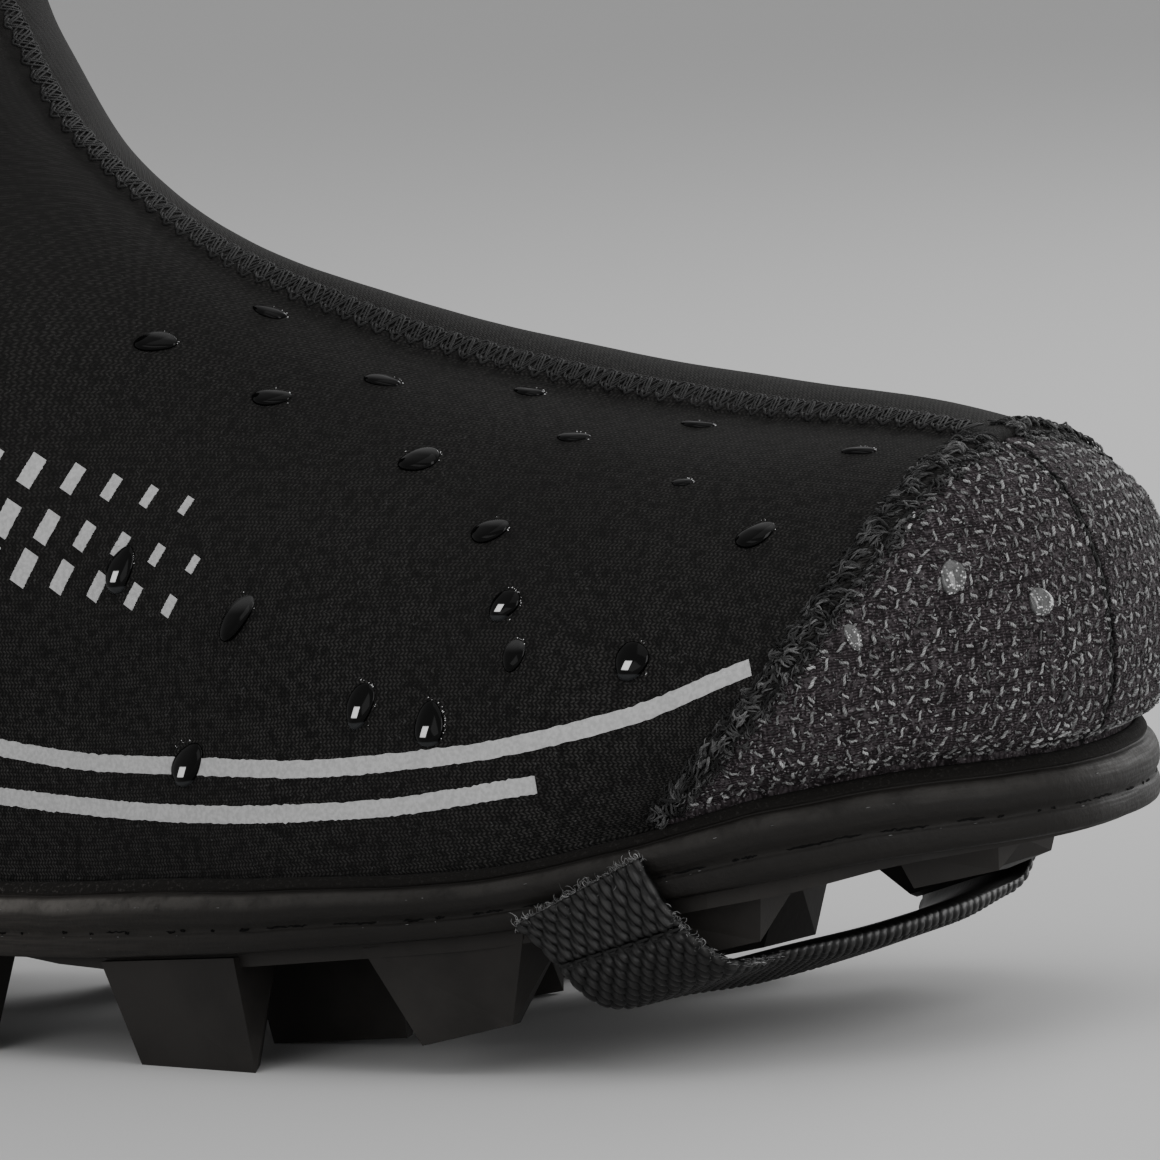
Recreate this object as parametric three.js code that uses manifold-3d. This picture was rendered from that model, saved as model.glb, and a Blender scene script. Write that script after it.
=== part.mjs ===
import * as THREE from "three";
import { mergeVertices } from "three/addons/utils/BufferGeometryUtils.js";
import Module from "manifold-3d";

// Cycling overshoe for the right foot on a lugged sole, in millimetres.
// +X points to the toe, +Z up and -Y to the outer side of the foot.
// The shoe stands on its lugs at z = 0, and x is measured from the back of the heel
// until the finished group is centred at the end.

const wasm = await Module();
wasm.setup();

// Driving sizes
const SHOE_LENGTH = 295;
const BALL_WIDTH = 104;
const INSTEP_HEIGHT = 112;
const SHAFT_HEIGHT = 198;
const SHAFT_WIDTH = 82;
const SHAFT_BACK_ROUND = 44;
const TOE_ROUND = 42;
const HEEL_ROUND = 37;
const TOE_RISE = 14;
const WALL = 3.5;
const CAP_THICKNESS = 1.2;
const BORDER_BOW = 6.5;
const MEDIAL_LIFT = 2.7;
const SEAM_WIDTH = 5;
const SEAM_RAISE = 1;
const RAND_THICKNESS = 3;
const RAND_HEIGHT = 10.5;
const RAND_LIFT = 2.2;
const PLATE_THICKNESS = 7;
const ARCH_HEIGHT = 3.6;
const CLEAT_WIDTH = 34;
const CLEAT_DEPTH = 2.5;
const LUG_HEIGHT = 13;
const LUG_TAPER = 1.5;
const LUG_UNDERCUT = 3;
const LUG_PINCH = 4;
const LUG_ROOT = 1.5;
const INSOLE_THICKNESS = 3;
const STRAP_WIDTH = 19;
const STRAP_THICKNESS = 1.8;
const STRAP_SLACK = 0.8;
const STRAP_STANDOFF = 0.6;
const GAP = 0.3;

// Worked-out sizes: how far the outside of the upper and the insole lie inside the rand's outline
const UPPER_INSET = RAND_THICKNESS + GAP;
const CAP_RECESS = CAP_THICKNESS + GAP;
const INSOLE_INSET = UPPER_INSET + WALL + GAP;
const HOLD_OVER = 0.8;
const LATERAL = -1;
const MEDIAL = 1;

// A table as one object for each row, from the names of its columns and its rows of values
const table = (columns, rows) =>
  rows.map((row) => Object.fromEntries(columns.map((name, i) => [name, row[i]])));

// Half widths of the foot, as shares of half the ball width, along the length from the heel
const FOOT_WIDTHS = [
  { along: 0, lateral: 0.71, medial: 0.71 },
  { along: 0.12, lateral: 0.73, medial: 0.73 },
  { along: 0.31, lateral: 0.74, medial: 0.69 },
  { along: 0.43, lateral: 0.81, medial: 0.68 },
  { along: 0.56, lateral: 0.93, medial: 0.83 },
  { along: 0.65, lateral: 1, medial: 0.95 },
  { along: 0.73, lateral: 1, medial: 1 },
  { along: 0.83, lateral: 0.91, medial: 0.99 },
  { along: 0.915, lateral: 0.81, medial: 0.95 },
  { along: 1, lateral: 0.69, medial: 0.9 },
];

// Along the sole: rise as a share of the toe rise, arch as a share of the arch height,
// height of the rand as a share of its height, and tread, the height of the lugs' tips,
// as a share of the lug height
const SOLE_LINES = [
  { along: 0, rise: 0.04, arch: 0, rand: 1.05, tread: 0.15 },
  { along: 0.04, rise: 0.01, arch: 0, rand: 1.03, tread: 0 },
  { along: 0.1, rise: 0, arch: 0, rand: 1, tread: 0 },
  { along: 0.23, rise: 0.04, arch: 0, rand: 0.98, tread: 0 },
  { along: 0.32, rise: 0.06, arch: 1, rand: 0.98, tread: 0 },
  { along: 0.39, rise: 0.03, arch: 0.95, rand: 1, tread: 0 },
  { along: 0.45, rise: 0, arch: 0.6, rand: 1.02, tread: 0 },
  { along: 0.515, rise: 0.04, arch: 0, rand: 1.04, tread: 0 },
  { along: 0.549, rise: 0.08, arch: 0, rand: 1.05, tread: 0 },
  { along: 0.615, rise: 0.17, arch: 0, rand: 1, tread: 0 },
  { along: 0.644, rise: 0.22, arch: 0, rand: 0.97, tread: 0.11 },
  { along: 0.71, rise: 0.32, arch: 0, rand: 0.89, tread: 0.345 },
  { along: 0.76, rise: 0.41, arch: 0, rand: 0.87, tread: 0.577 },
  { along: 0.824, rise: 0.61, arch: 0, rand: 0.93, tread: 1.14 },
  { along: 0.868, rise: 0.76, arch: 0, rand: 1.04, tread: 1.31 },
  { along: 0.898, rise: 0.85, arch: 0, rand: 1.12, tread: 1.54 },
  { along: 0.95, rise: 0.99, arch: 0.3, rand: 1.12, tread: 1.86 },
  { along: 1, rise: 1.02, arch: 0.45, rand: 1.04, tread: 1.95 },
];

// Half width of the shaft, as a share of half its width, over the height of the overshoe
const SHAFT_WIDTHS = [
  { up: 0.3, wide: 0.92 },
  { up: 0.45, wide: 0.95 },
  { up: 0.53, wide: 0.99 },
  { up: 0.66, wide: 0.97 },
  { up: 0.8, wide: 0.98 },
  { up: 1, wide: 1.03 },
];

// Line of the back, as a share of the length, from the top of the rand to the collar
const BACK_LINE = [
  { up: 0, back: 0 },
  { up: 0.11, back: -0.007 },
  { up: 0.31, back: 0.003 },
  { up: 0.5, back: 0.0245 },
  { up: 0.68, back: 0.0405 },
  { up: 0.84, back: 0.043 },
  { up: 1, back: 0.036 },
];

// Sections of the upper, fanned from the toe over the instep to the collar.
// Each runs from the ridge line down to the base line, which turns up the back at the heel.
// ridge: share of the length; foot: share of the height from the toe's rand to the instep;
// shaft: share of the height from the instep to the collar; base: share of the length;
// up: share of the height of the back; crown: share of the section that is rounded at the ridge;
// full and flat: how square that rounding is on the outer and the inner side;
// lift: share of the medial lift; leg: 0 on the foot, 1 on the shaft; bow: share of the border bow;
// cuts: sections up to the next row; mark: name of a row where a piece ends
const SECTIONS = table(
  ["ridge", "foot", "shaft", "base", "up", "crown", "full", "flat", "lift", "leg", "bow", "cuts", "mark"],
  [
    [1, 0, 0, 1, 0, 1, 2.1, 2.1, 0, 0, 0, 4],
    [1.012, 0.135, 0, 0.985, 0, 1, 2.1, 2.1, 0, 0, 0, 2],
    [1.0158, 0.294, 0, 0.959, 0, 1, 2.1, 2.15, 0, 0, 0.1, 2],
    [1.005, 0.449, 0, 0.925, 0, 1, 2.1, 2.15, 0, 0, 0.3, 2],
    [0.987, 0.547, 0, 0.888, 0, 1, 2.05, 2.2, 0.1, 0, 0.7, 2],
    [0.9675, 0.592, 0, 0.849, 0, 1, 2.05, 2.25, 0.2, 0, 1, 1, "cap edge"],
    [0.9479, 0.6115, 0, 0.8305, 0, 1, 2.05, 2.4, 0.4, 0, 1, 2, "seam edge"],
    [0.9016, 0.637, 0, 0.797, 0, 1, 2.05, 2.7, 0.75, 0, 0.7, 2],
    [0.8468, 0.656, 0, 0.759, 0, 1, 2.1, 2.9, 0.95, 0, 0.3, 2],
    [0.7816, 0.693, 0, 0.715, 0, 1, 2.1, 3, 1, 0, 0, 2],
    [0.7165, 0.741, 0, 0.668, 0, 1, 2.1, 3, 1, 0, 0, 2],
    [0.6514, 0.801, 0, 0.617, 0, 1, 2.1, 2.9, 1, 0, 0, 2],
    [0.5828, 0.891, 0, 0.556, 0, 1, 2.1, 2.6, 0.9, 0, 0, 2],
    [0.5211, 0.997, 0, 0.481, 0, 0.95, 2.1, 2.3, 0.6, 0.1, 0, 3],
    [0.4667, 1, 0.116, 0.373, 0, 0.7, 2.1, 2.1, 0.2, 0.5, 0, 3],
    [0.4245, 1, 0.25, 0.237, 0, 0.48, 2.1, 2.05, 0, 0.9, 0, 3],
    [0.4035, 1, 0.374, 0.105, 0, 0.37, 2.05, 2, 0, 1, 0, 6],
    [0.3895, 1, 0.477, 0, 0, 0.34, 2, 2, 0, 1, 0, 2, "heel corner"],
    [0.379, 1, 0.58, 0, 0.11, 0.35, 2, 2, 0, 1, 0, 2],
    [0.371, 1, 0.686, 0, 0.31, 0.39, 2, 2, 0, 1, 0, 2],
    [0.3651, 1, 0.8, 0, 0.51, 0.44, 2, 2, 0, 1, 0, 2],
    [0.36, 1, 0.907, 0, 0.71, 0.48, 2, 2, 0, 1, 0, 2],
    [0.3565, 1, 1, 0, 0.99, 0.5, 2, 2, 0, 1, 0, 1],
  ]
).map((row, index) => ({ ...row, index }));
const rowAt = (mark) => SECTIONS.findIndex((row) => row.mark === mark);
const CAP_EDGE = rowAt("cap edge");
const SEAM_EDGE = rowAt("seam edge");
const HEEL_CORNER = rowAt("heel corner");
const COLLAR = SECTIONS.length - 1;
const CAP_END_SHARE = 0.03;
const COLUMNS = 9;
const FOOT_EVENNESS = 0.25;

// Profile of the rand, from its inner lower edge outwards and round:
// out as a share of its thickness, up as a share of its height
const RAND_PROFILE = [
  { out: 0, up: 0 },
  { out: 0.8, up: 0 },
  { out: 1, up: 0.08 },
  { out: 1, up: 0.27 },
  { out: 0.82, up: 0.31 },
  { out: 0.86, up: 0.37 },
  { out: 1.08, up: 0.46 },
  { out: 1.08, up: 0.64 },
  { out: 0.8, up: 0.79 },
  { out: 0.42, up: 0.82 },
  { out: 0.62, up: 0.86 },
  { out: 0.6, up: 0.98 },
  { out: 0, up: 1 },
];

// Stations of the cleat recess, as shares of the length
const CLEAT_SHARES = [0.56, 0.63, 0.7, 0.77];

// Lugs on each side: from and to along the length at the plate; rear and front: how far these faces
// lean towards the toe at the tip, in shares of the length; inner and outer edge as shares of the
// half width of the outline there; medial: how far the inner side's copy lies forward
const LUGS = table(
  ["name", "from", "to", "rear", "front", "inner", "outer", "medial"],
  [
    ["heel rear", 0.02, 0.12, 0.008, -0.004, 0.35, 0.88, 0],
    ["heel front", 0.15, 0.255, 0.012, 0.003, 0.62, 0.9, 0],
    ["waist", 0.34, 0.425, 0.012, -0.006, 0.66, 0.86, 0],
    ["ball rear", 0.515, 0.606, 0.016, 0.004, 0.74, 0.96, 0],
    ["ball inner", 0.555, 0.65, 0.008, -0.002, 0.3, 0.52, -0.022],
    ["ball front", 0.683, 0.774, 0.027, -0.014, 0.7, 0.94, -0.035],
    ["ball middle", 0.665, 0.716, 0.008, -0.008, 0.36, 0.54, -0.01],
    ["toe side", 0.815, 0.886, 0.014, -0.006, 0.62, 0.86, -0.033],
    ["toe tip", 0.925, 0.968, 0.006, -0.004, 0.15, 0.56, -0.045],
  ]
);

// Strap: stations from the sewn end on the outer side, under the toe, to the inner side.
// side: -1 outer to 1 inner, as a share of the foot's half width there; lean: shift of the strap
// towards the toe as a share of its width; drop: 0 at the sewn end, 1 on the tips of the lugs;
// skew: how much lower the rear edge lies than the front edge
const STRAP_STATIONS = [
  { side: -1, lean: -0.46, drop: 0.05, skew: 0.26 },
  { side: -1, lean: -0.32, drop: 0.4, skew: 0.06 },
  { side: -0.985, lean: -0.14, drop: 0.7, skew: 0.05 },
  { side: -0.93, lean: -0.05, drop: 0.9, skew: 0.09 },
  { side: -0.86, lean: 0, drop: 1, skew: 0.08 },
  { side: -0.5, lean: 0, drop: 1.02, skew: 0.08 },
  { side: 0, lean: -0.02, drop: 1.05, skew: 0.08 },
  { side: 0.5, lean: -0.14, drop: 1.03, skew: 0.07 },
  { side: 0.83, lean: -0.3, drop: 1, skew: 0.05 },
  { side: 0.91, lean: -0.35, drop: 0.9, skew: 0 },
  { side: 0.98, lean: -0.4, drop: 0.7, skew: 0 },
  { side: 1, lean: -0.45, drop: 0.4, skew: 0 },
  { side: 1, lean: -0.5, drop: 0, skew: 0 },
];
const STRAP_ALONG = 0.842;
const STRAP_REACH = 0.75;

// Materials
const neoprene = new THREE.MeshStandardMaterial({ color: 0x1c1c1d, roughness: 0.85, metalness: 0 });
const textile = new THREE.MeshStandardMaterial({ color: 0x2e2b2c, roughness: 0.9, metalness: 0 });
const rubber = new THREE.MeshStandardMaterial({ color: 0x232220, roughness: 0.55, metalness: 0 });
const soleRubber = new THREE.MeshStandardMaterial({ color: 0x1b1b1a, roughness: 0.6, metalness: 0 });
const webbing = new THREE.MeshStandardMaterial({ color: 0x19191a, roughness: 0.9, metalness: 0 });
const felt = new THREE.MeshStandardMaterial({ color: 0x2a2a2c, roughness: 0.95, metalness: 0 });

// A smooth line through one column of a table, without overshoot between its rows
function smoothLine(rows, along, column) {
  const at = rows.map((row) => row[along]);
  const value = rows.map((row) => row[column]);
  const last = rows.length - 1;
  const slope = at.slice(1).map((next, i) => (value[i + 1] - value[i]) / (next - at[i]));
  const tangent = at.map((_, i) => {
    if (i === 0) return slope[0];
    if (i === last) return slope[last - 1];
    const product = slope[i - 1] * slope[i];
    return product > 0 ? (2 * product) / (slope[i - 1] + slope[i]) : 0;
  });
  return (place) => {
    const t = THREE.MathUtils.clamp(place, at[0], at[last]);
    let i = 0;
    while (i < last - 1 && t > at[i + 1]) i += 1;
    const step = at[i + 1] - at[i];
    const k = (t - at[i]) / step;
    const rest = 1 - k;
    return (
      value[i] * (1 + 2 * k) * rest * rest +
      value[i + 1] * (3 - 2 * k) * k * k +
      step * (tangent[i] * k * rest * rest - tangent[i + 1] * k * k * rest)
    );
  };
}

const footWidth = {
  [LATERAL]: smoothLine(FOOT_WIDTHS, "along", "lateral"),
  [MEDIAL]: smoothLine(FOOT_WIDTHS, "along", "medial"),
};
const riseShare = smoothLine(SOLE_LINES, "along", "rise");
const randShare = smoothLine(SOLE_LINES, "along", "rand");
const archShare = smoothLine(SOLE_LINES, "along", "arch");
const treadShare = smoothLine(SOLE_LINES, "along", "tread");
const shaftWidth = smoothLine(SHAFT_WIDTHS, "up", "wide");
const backShare = smoothLine(BACK_LINE, "up", "back");
const fan = Object.fromEntries(
  ["ridge", "base", "up", "crown", "full", "flat", "lift", "leg", "bow"].map((column) => [
    column,
    smoothLine(SECTIONS, "index", column),
  ])
);

// Heights of the sole along the shoe
const soleLine = (x) => LUG_HEIGHT + TOE_RISE * riseShare(x / SHOE_LENGTH);
const plateBottom = (x) => soleLine(x) + ARCH_HEIGHT * archShare(x / SHOE_LENGTH);
const plateTop = (x) => soleLine(x) + PLATE_THICKNESS;
const randBottom = (x) => soleLine(x) + RAND_LIFT;
const randTop = (x) => randBottom(x) + RAND_HEIGHT * randShare(x / SHOE_LENGTH);
const treadHeight = (x) => LUG_HEIGHT * treadShare(x / SHOE_LENGTH);
const holdTop = (x) => randTop(x) + HOLD_OVER;

// Outline of the shoe from below, moved inwards by an inset
const TOE_CENTRE = SHOE_LENGTH - TOE_ROUND;
const footHalf = (side, x) => (BALL_WIDTH / 2) * footWidth[side](x / SHOE_LENGTH);
function slide(x, inset) {
  if (x > TOE_CENTRE) return TOE_CENTRE + ((x - TOE_CENTRE) * (TOE_ROUND - inset)) / TOE_ROUND;
  if (x < HEEL_ROUND) return HEEL_ROUND - ((HEEL_ROUND - x) * (HEEL_ROUND - inset)) / HEEL_ROUND;
  return x;
}
const arc = (share) => Math.sqrt(Math.max(0, 1 - share * share));
const toeRound = (x, inset) => arc(Math.max(0, x - TOE_CENTRE) / (TOE_ROUND - inset));
const heelRound = (x, inset) => arc(Math.max(0, HEEL_ROUND - x) / (HEEL_ROUND - inset));
function outlineHalf(side, x, inset) {
  return (footHalf(side, x) - inset) * toeRound(x, inset) * heelRound(x, inset);
}

// The ridge line of the upper and its direction inwards
const TOE_HOLD = holdTop(SHOE_LENGTH);
const HEEL_HOLD = holdTop(0);
const ridgeRows = SECTIONS.map(({ index, foot, shaft }) => ({
  index,
  height: TOE_HOLD + (INSTEP_HEIGHT - TOE_HOLD) * foot + (SHAFT_HEIGHT - INSTEP_HEIGHT) * shaft,
}));
const ridgeHeight = smoothLine(ridgeRows, "index", "height");
const ridgePoint = (u) => new THREE.Vector2((SHOE_LENGTH - UPPER_INSET) * fan.ridge(u), ridgeHeight(u));
function ridgeInwards(u) {
  const near = ridgePoint(Math.max(0, u - 0.25));
  const far = ridgePoint(Math.min(COLLAR, u + 0.25));
  const along = far.sub(near).normalize();
  const inwards = new THREE.Vector2(-along.y, along.x);
  return inwards.lerp(new THREE.Vector2(-1, 0), Math.max(0, 1 - u)).normalize();
}
function backLine(z) {
  const up = (z - HEEL_HOLD) / (SHAFT_HEIGHT - HEEL_HOLD);
  return SHOE_LENGTH * backShare(up);
}

// One section of the upper at a depth below its outside: its ridge, its base at the hold of the
// rand, and its edge on the plate
function sectionEnds(u, skin) {
  const inset = UPPER_INSET + skin;
  const ridge = ridgePoint(u).addScaledVector(ridgeInwards(u), skin);
  if (u <= HEEL_CORNER) {
    const x = slide(SHOE_LENGTH * fan.base(u), inset);
    const base = new THREE.Vector2(x, holdTop(x));
    const edge = new THREE.Vector2(x, plateTop(x) + GAP);
    return { ridge: u === 0 ? base.clone() : ridge, base, edge, inset };
  }
  const z = HEEL_HOLD + (SHAFT_HEIGHT - HEEL_HOLD) * fan.up(u);
  const base = new THREE.Vector2(inset + backLine(z), z);
  return { ridge, base, edge: base, inset };
}

// Heights between which the foot's width passes into the shaft's
const ANKLE_LOW = 0.36 * SHAFT_HEIGHT;
const ANKLE_HIGH = 0.64 * SHAFT_HEIGHT;

// Makes the greatest value of crown * (1 - crown) * (1 - crown) equal to 1
const LIFT_PEAK = 27 / 4;

// A point of the upper: share runs from the ridge at 0 to the base at 1
function upperPoint(u, side, share, skin, ends = sectionEnds(u, skin)) {
  const { ridge, base, inset } = ends;
  const bow = BORDER_BOW * fan.bow(u) * 4 * share * (1 - share);
  const x = THREE.MathUtils.lerp(ridge.x, base.x, share) + bow;
  const z = THREE.MathUtils.lerp(ridge.y, base.y, share);
  const leg = THREE.MathUtils.smoothstep(z, ANKLE_LOW, ANKLE_HIGH);
  const foot = footHalf(side, THREE.MathUtils.lerp(base.x, x, fan.leg(u))) - UPPER_INSET;
  const shaft = (SHAFT_WIDTH / 2) * shaftWidth(z / SHAFT_HEIGHT);
  const half = THREE.MathUtils.lerp(foot, shaft, leg) - skin;
  const backRadius = THREE.MathUtils.lerp(HEEL_ROUND - UPPER_INSET, SHAFT_BACK_ROUND, leg) - skin;
  const fromBack = (x - inset - backLine(z)) / backRadius;
  const back = arc(1 - THREE.MathUtils.clamp(fromBack, 0, 1));
  const full = side === LATERAL ? fan.full(u) : fan.flat(u);
  const left = 1 - Math.min(share / fan.crown(u), 1);
  const crown = Math.pow(1 - Math.pow(left, full), 1 / full);
  const y = side * half * toeRound(base.x, inset) * back * crown;
  const fade = side === LATERAL ? -Math.pow(1 - crown, 4) : Math.pow(1 - crown, 2);
  const lift = MEDIAL_LIFT * fan.lift(u) * LIFT_PEAK * crown * fade;
  return new THREE.Vector3(x, y, z + lift);
}

// The share at which a section reaches a given half width. Near the toe, where a section is narrow,
// the strip keeps to SEAM_NARROW of it.
const SEAM_SHARE = 0.4;
const SEAM_NARROW = 0.3;
const HALVINGS = 24;
function shareAtWidth(u, side, width, skin) {
  const ends = sectionEnds(u, skin);
  const widest = Math.abs(upperPoint(u, side, SEAM_SHARE, skin, ends).y);
  const reach = Math.min(width, SEAM_NARROW * widest);
  let low = 0;
  let high = SEAM_SHARE;
  for (let i = 0; i < HALVINGS; i += 1) {
    const middle = (low + high) / 2;
    const y = Math.abs(upperPoint(u, side, middle, skin, ends).y);
    if (y < reach) low = middle;
    else high = middle;
  }
  return (low + high) / 2;
}

// The points of one section across the foot, from the outer edge over the ridge to the inner edge.
// The strip along the ridge, as wide as the centre seam, is raised by seam. What the rand holds
// is never raised.
function sectionRow(u, skin, seam) {
  const held = Math.max(skin, 0);
  const half = (side) => {
    const start = shareAtWidth(u, side, SEAM_WIDTH / 2, skin);
    const points = [upperPoint(u, side, start, skin - seam)];
    for (let i = 0; i <= COLUMNS; i += 1) {
      const t = i / COLUMNS;
      const onFoot = 1 - Math.cos((t * Math.PI) / 2);
      const onLeg = (1 - Math.cos(t * Math.PI)) / 2;
      const even = THREE.MathUtils.lerp(FOOT_EVENNESS, 1, fan.leg(u));
      const spread = THREE.MathUtils.lerp(onFoot, onLeg, even);
      const depth = i === COLUMNS ? held : skin;
      points.push(upperPoint(u, side, start + (1 - start) * spread, depth));
    }
    const rim = points[points.length - 1].clone();
    rim.z = sectionEnds(u, held).edge.y;
    points.push(rim);
    return points;
  };
  const ridge = upperPoint(u, MEDIAL, 0, skin - seam);
  return [...half(LATERAL).reverse(), ridge, ...half(MEDIAL)];
}

// The places of the sections between two rows of the table, closer where the outline turns
function sectionPlaces(first, last) {
  const places = [];
  SECTIONS.slice(first, last).forEach(({ index, cuts }) => {
    for (let i = 0; i < cuts; i += 1) {
      const t = i / cuts;
      if (index === 0) places.push(t * t);
      else if (index === HEEL_CORNER - 1) places.push(index + 1 - (1 - t) * (1 - t));
      else places.push(index + t);
    }
  });
  places.push(last);
  return places;
}

// A closed geometry from points and faces of three or four corners, facing outwards
function closedGeometry(points, faces) {
  const geometry = new THREE.BufferGeometry();
  const corners = faces.flatMap((face) =>
    face.length === 3 ? face : [face[0], face[1], face[2], face[0], face[2], face[3]]
  );
  const places = points.flatMap((point) => [point.x, point.y, point.z]);
  geometry.setAttribute("position", new THREE.Float32BufferAttribute(places, 3));
  geometry.setIndex(corners);
  const merged = mergeVertices(geometry, 1e-3);
  const index = merged.index.array;
  const kept = [];
  for (let i = 0; i < index.length; i += 3) {
    const [a, b, c] = [index[i], index[i + 1], index[i + 2]];
    if (a !== b && b !== c && c !== a) kept.push(a, b, c);
  }
  const place = (i) => new THREE.Vector3().fromBufferAttribute(merged.attributes.position, i);
  let volume = 0;
  for (let i = 0; i < kept.length; i += 3) {
    volume += place(kept[i]).dot(place(kept[i + 1]).cross(place(kept[i + 2])));
  }
  merged.setIndex(volume < 0 ? kept.reverse() : kept);
  return merged;
}

// A hollow shell between rows of outer and inner points, open below up to the heel corner
function shellGeometry(rows) {
  const points = [];
  const outer = rows.map((row) => row.outer.map((point) => points.push(point) - 1));
  const inner = rows.map((row) => row.inner.map((point) => points.push(point) - 1));
  const width = outer[0].length;
  const faces = [];
  for (let i = 0; i < rows.length - 1; i += 1) {
    for (let j = 0; j < width - 1; j += 1) {
      faces.push([outer[i][j], outer[i][j + 1], outer[i + 1][j + 1], outer[i + 1][j]]);
      faces.push([inner[i][j], inner[i + 1][j], inner[i + 1][j + 1], inner[i][j + 1]]);
    }
    if (rows[i + 1].u > HEEL_CORNER) continue;
    faces.push([outer[i][0], outer[i + 1][0], inner[i + 1][0], inner[i][0]]);
    const [a, b] = [outer[i][width - 1], outer[i + 1][width - 1]];
    faces.push([a, inner[i][width - 1], inner[i + 1][width - 1], b]);
  }
  const end = rows.length - 1;
  for (let j = 0; j < width - 1; j += 1) {
    faces.push([outer[end][j], outer[end][j + 1], inner[end][j + 1], inner[end][j]]);
  }
  return closedGeometry(points, faces);
}

// Upper: recessed under the toe cap, with a raised border seam behind it and a raised centre seam
function upperGeometry() {
  const row = (u, skin, seam) => ({
    u,
    outer: sectionRow(u, skin, seam),
    inner: sectionRow(u, WALL, 0),
  });
  const capRows = sectionPlaces(0, CAP_EDGE).map((u) => row(u, CAP_RECESS, 0));
  const borderRows = sectionPlaces(CAP_EDGE, SEAM_EDGE).map((u) => row(u, -SEAM_RAISE, 0));
  const bodyRows = sectionPlaces(SEAM_EDGE, COLLAR).map((u) => row(u, 0, SEAM_RAISE));
  return shellGeometry([...capRows, ...borderRows, ...bodyRows]);
}

// Toe cap: the layer between the upper's recess and its outside, up to the border
function capGeometry() {
  const places = [...sectionPlaces(0, CAP_EDGE).slice(0, -1), CAP_EDGE - CAP_END_SHARE];
  return shellGeometry(
    places.map((u) => ({ u, outer: sectionRow(u, 0, 0), inner: sectionRow(u, CAP_THICKNESS, 0) }))
  );
}

// Stations along the outline, shared by the rand, the plate and the insole
const STATIONS = sectionPlaces(0, HEEL_CORNER).map((u) => SHOE_LENGTH * fan.base(u));

// Rand: its profile carried round the outline
function randGeometry() {
  const loop = [
    ...STATIONS.map((x) => ({ x, side: LATERAL })),
    ...STATIONS.slice(1, -1).reverse().map((x) => ({ x, side: MEDIAL })),
  ];
  const points = loop.flatMap(({ x, side }) =>
    RAND_PROFILE.map(({ out, up }) => {
      const inset = RAND_THICKNESS * (1 - out);
      const along = slide(x, inset);
      const z = THREE.MathUtils.lerp(randBottom(along), randTop(along), up);
      return new THREE.Vector3(along, side * outlineHalf(side, along, inset), z);
    })
  );
  const count = RAND_PROFILE.length;
  const faces = [];
  loop.forEach((_, i) => {
    const next = (i + 1) % loop.length;
    for (let j = 0; j < count; j += 1) {
      const above = (j + 1) % count;
      faces.push([i * count + j, next * count + j, next * count + above, i * count + above]);
    }
  });
  return closedGeometry(points, faces);
}

// A slab across the shoe between two heights, with a half width for each side and station
function slabGeometry(stations, halfWidth, low, high) {
  const points = [];
  stations.forEach((x) => {
    [LATERAL, MEDIAL].forEach((side) => {
      const y = side * halfWidth(side, x);
      points.push(new THREE.Vector3(x, y, low(x)), new THREE.Vector3(x, y, high(x)));
    });
  });
  const faces = [[0, 1, 3, 2]];
  const last = (stations.length - 1) * 4;
  for (let a = 0; a < last; a += 4) {
    const b = a + 4;
    faces.push([a + 1, b + 1, b + 3, a + 3], [a, a + 2, b + 2, b]);
    faces.push([a, b, b + 1, a + 1], [a + 2, a + 3, b + 3, b + 2]);
  }
  faces.push([last, last + 2, last + 3, last + 1]);
  return closedGeometry(points, faces);
}

const toSolid = (geometry) =>
  new wasm.Manifold(
    new wasm.Mesh({
      numProp: 3,
      vertProperties: new Float32Array(geometry.attributes.position.array),
      triVerts: new Uint32Array(geometry.index.array),
    })
  );

function fromSolid(solid) {
  const mesh = solid.getMesh();
  const geometry = new THREE.BufferGeometry();
  geometry.setAttribute("position", new THREE.Float32BufferAttribute(mesh.vertProperties, 3));
  geometry.setIndex(Array.from(mesh.triVerts));
  return geometry;
}

// One lug: a block from inside the plate down to the line of the tread, tapered and pinched inside
function lugGeometry({ from, to, rear, front, inner, outer, medial }, side) {
  const shift = side === MEDIAL ? medial : 0;
  const points = [];
  [[from, rear, LUG_PINCH], [to, front, -LUG_PINCH]].forEach(([share, lean, pinch]) => {
    const x = SHOE_LENGTH * (share + shift);
    const half = outlineHalf(side, x, 0);
    [[inner, LUG_UNDERCUT, pinch], [outer, -LUG_TAPER, 0]].forEach(([edge, taper, narrow]) => {
      const tip = x + SHOE_LENGTH * lean + narrow;
      points.push(new THREE.Vector3(x, side * edge * half, plateBottom(x) + LUG_ROOT));
      points.push(new THREE.Vector3(tip, side * (edge * half + taper), treadHeight(tip)));
    });
  });
  return closedGeometry(points, [
    [0, 2, 6, 4],
    [1, 5, 7, 3],
    [0, 4, 5, 1],
    [2, 3, 7, 6],
    [0, 1, 3, 2],
    [4, 6, 7, 5],
  ]);
}

// Outsole: plate, cleat recess and lugs
function outsoleGeometry() {
  const stations = STATIONS.map((x) => slide(x, UPPER_INSET));
  const half = (side, x) => outlineHalf(side, x, UPPER_INSET);
  const plate = slabGeometry(stations, half, plateBottom, plateTop);
  const recess = slabGeometry(
    CLEAT_SHARES.map((share) => share * SHOE_LENGTH),
    () => CLEAT_WIDTH / 2,
    (x) => plateBottom(x) - LUG_ROOT,
    (x) => plateBottom(x) + CLEAT_DEPTH
  );
  let sole = toSolid(plate).subtract(toSolid(recess));
  LUGS.forEach((lug) => {
    [LATERAL, MEDIAL].forEach((side) => {
      sole = sole.add(toSolid(lugGeometry(lug, side)));
    });
  });
  return fromSolid(sole);
}

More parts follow.
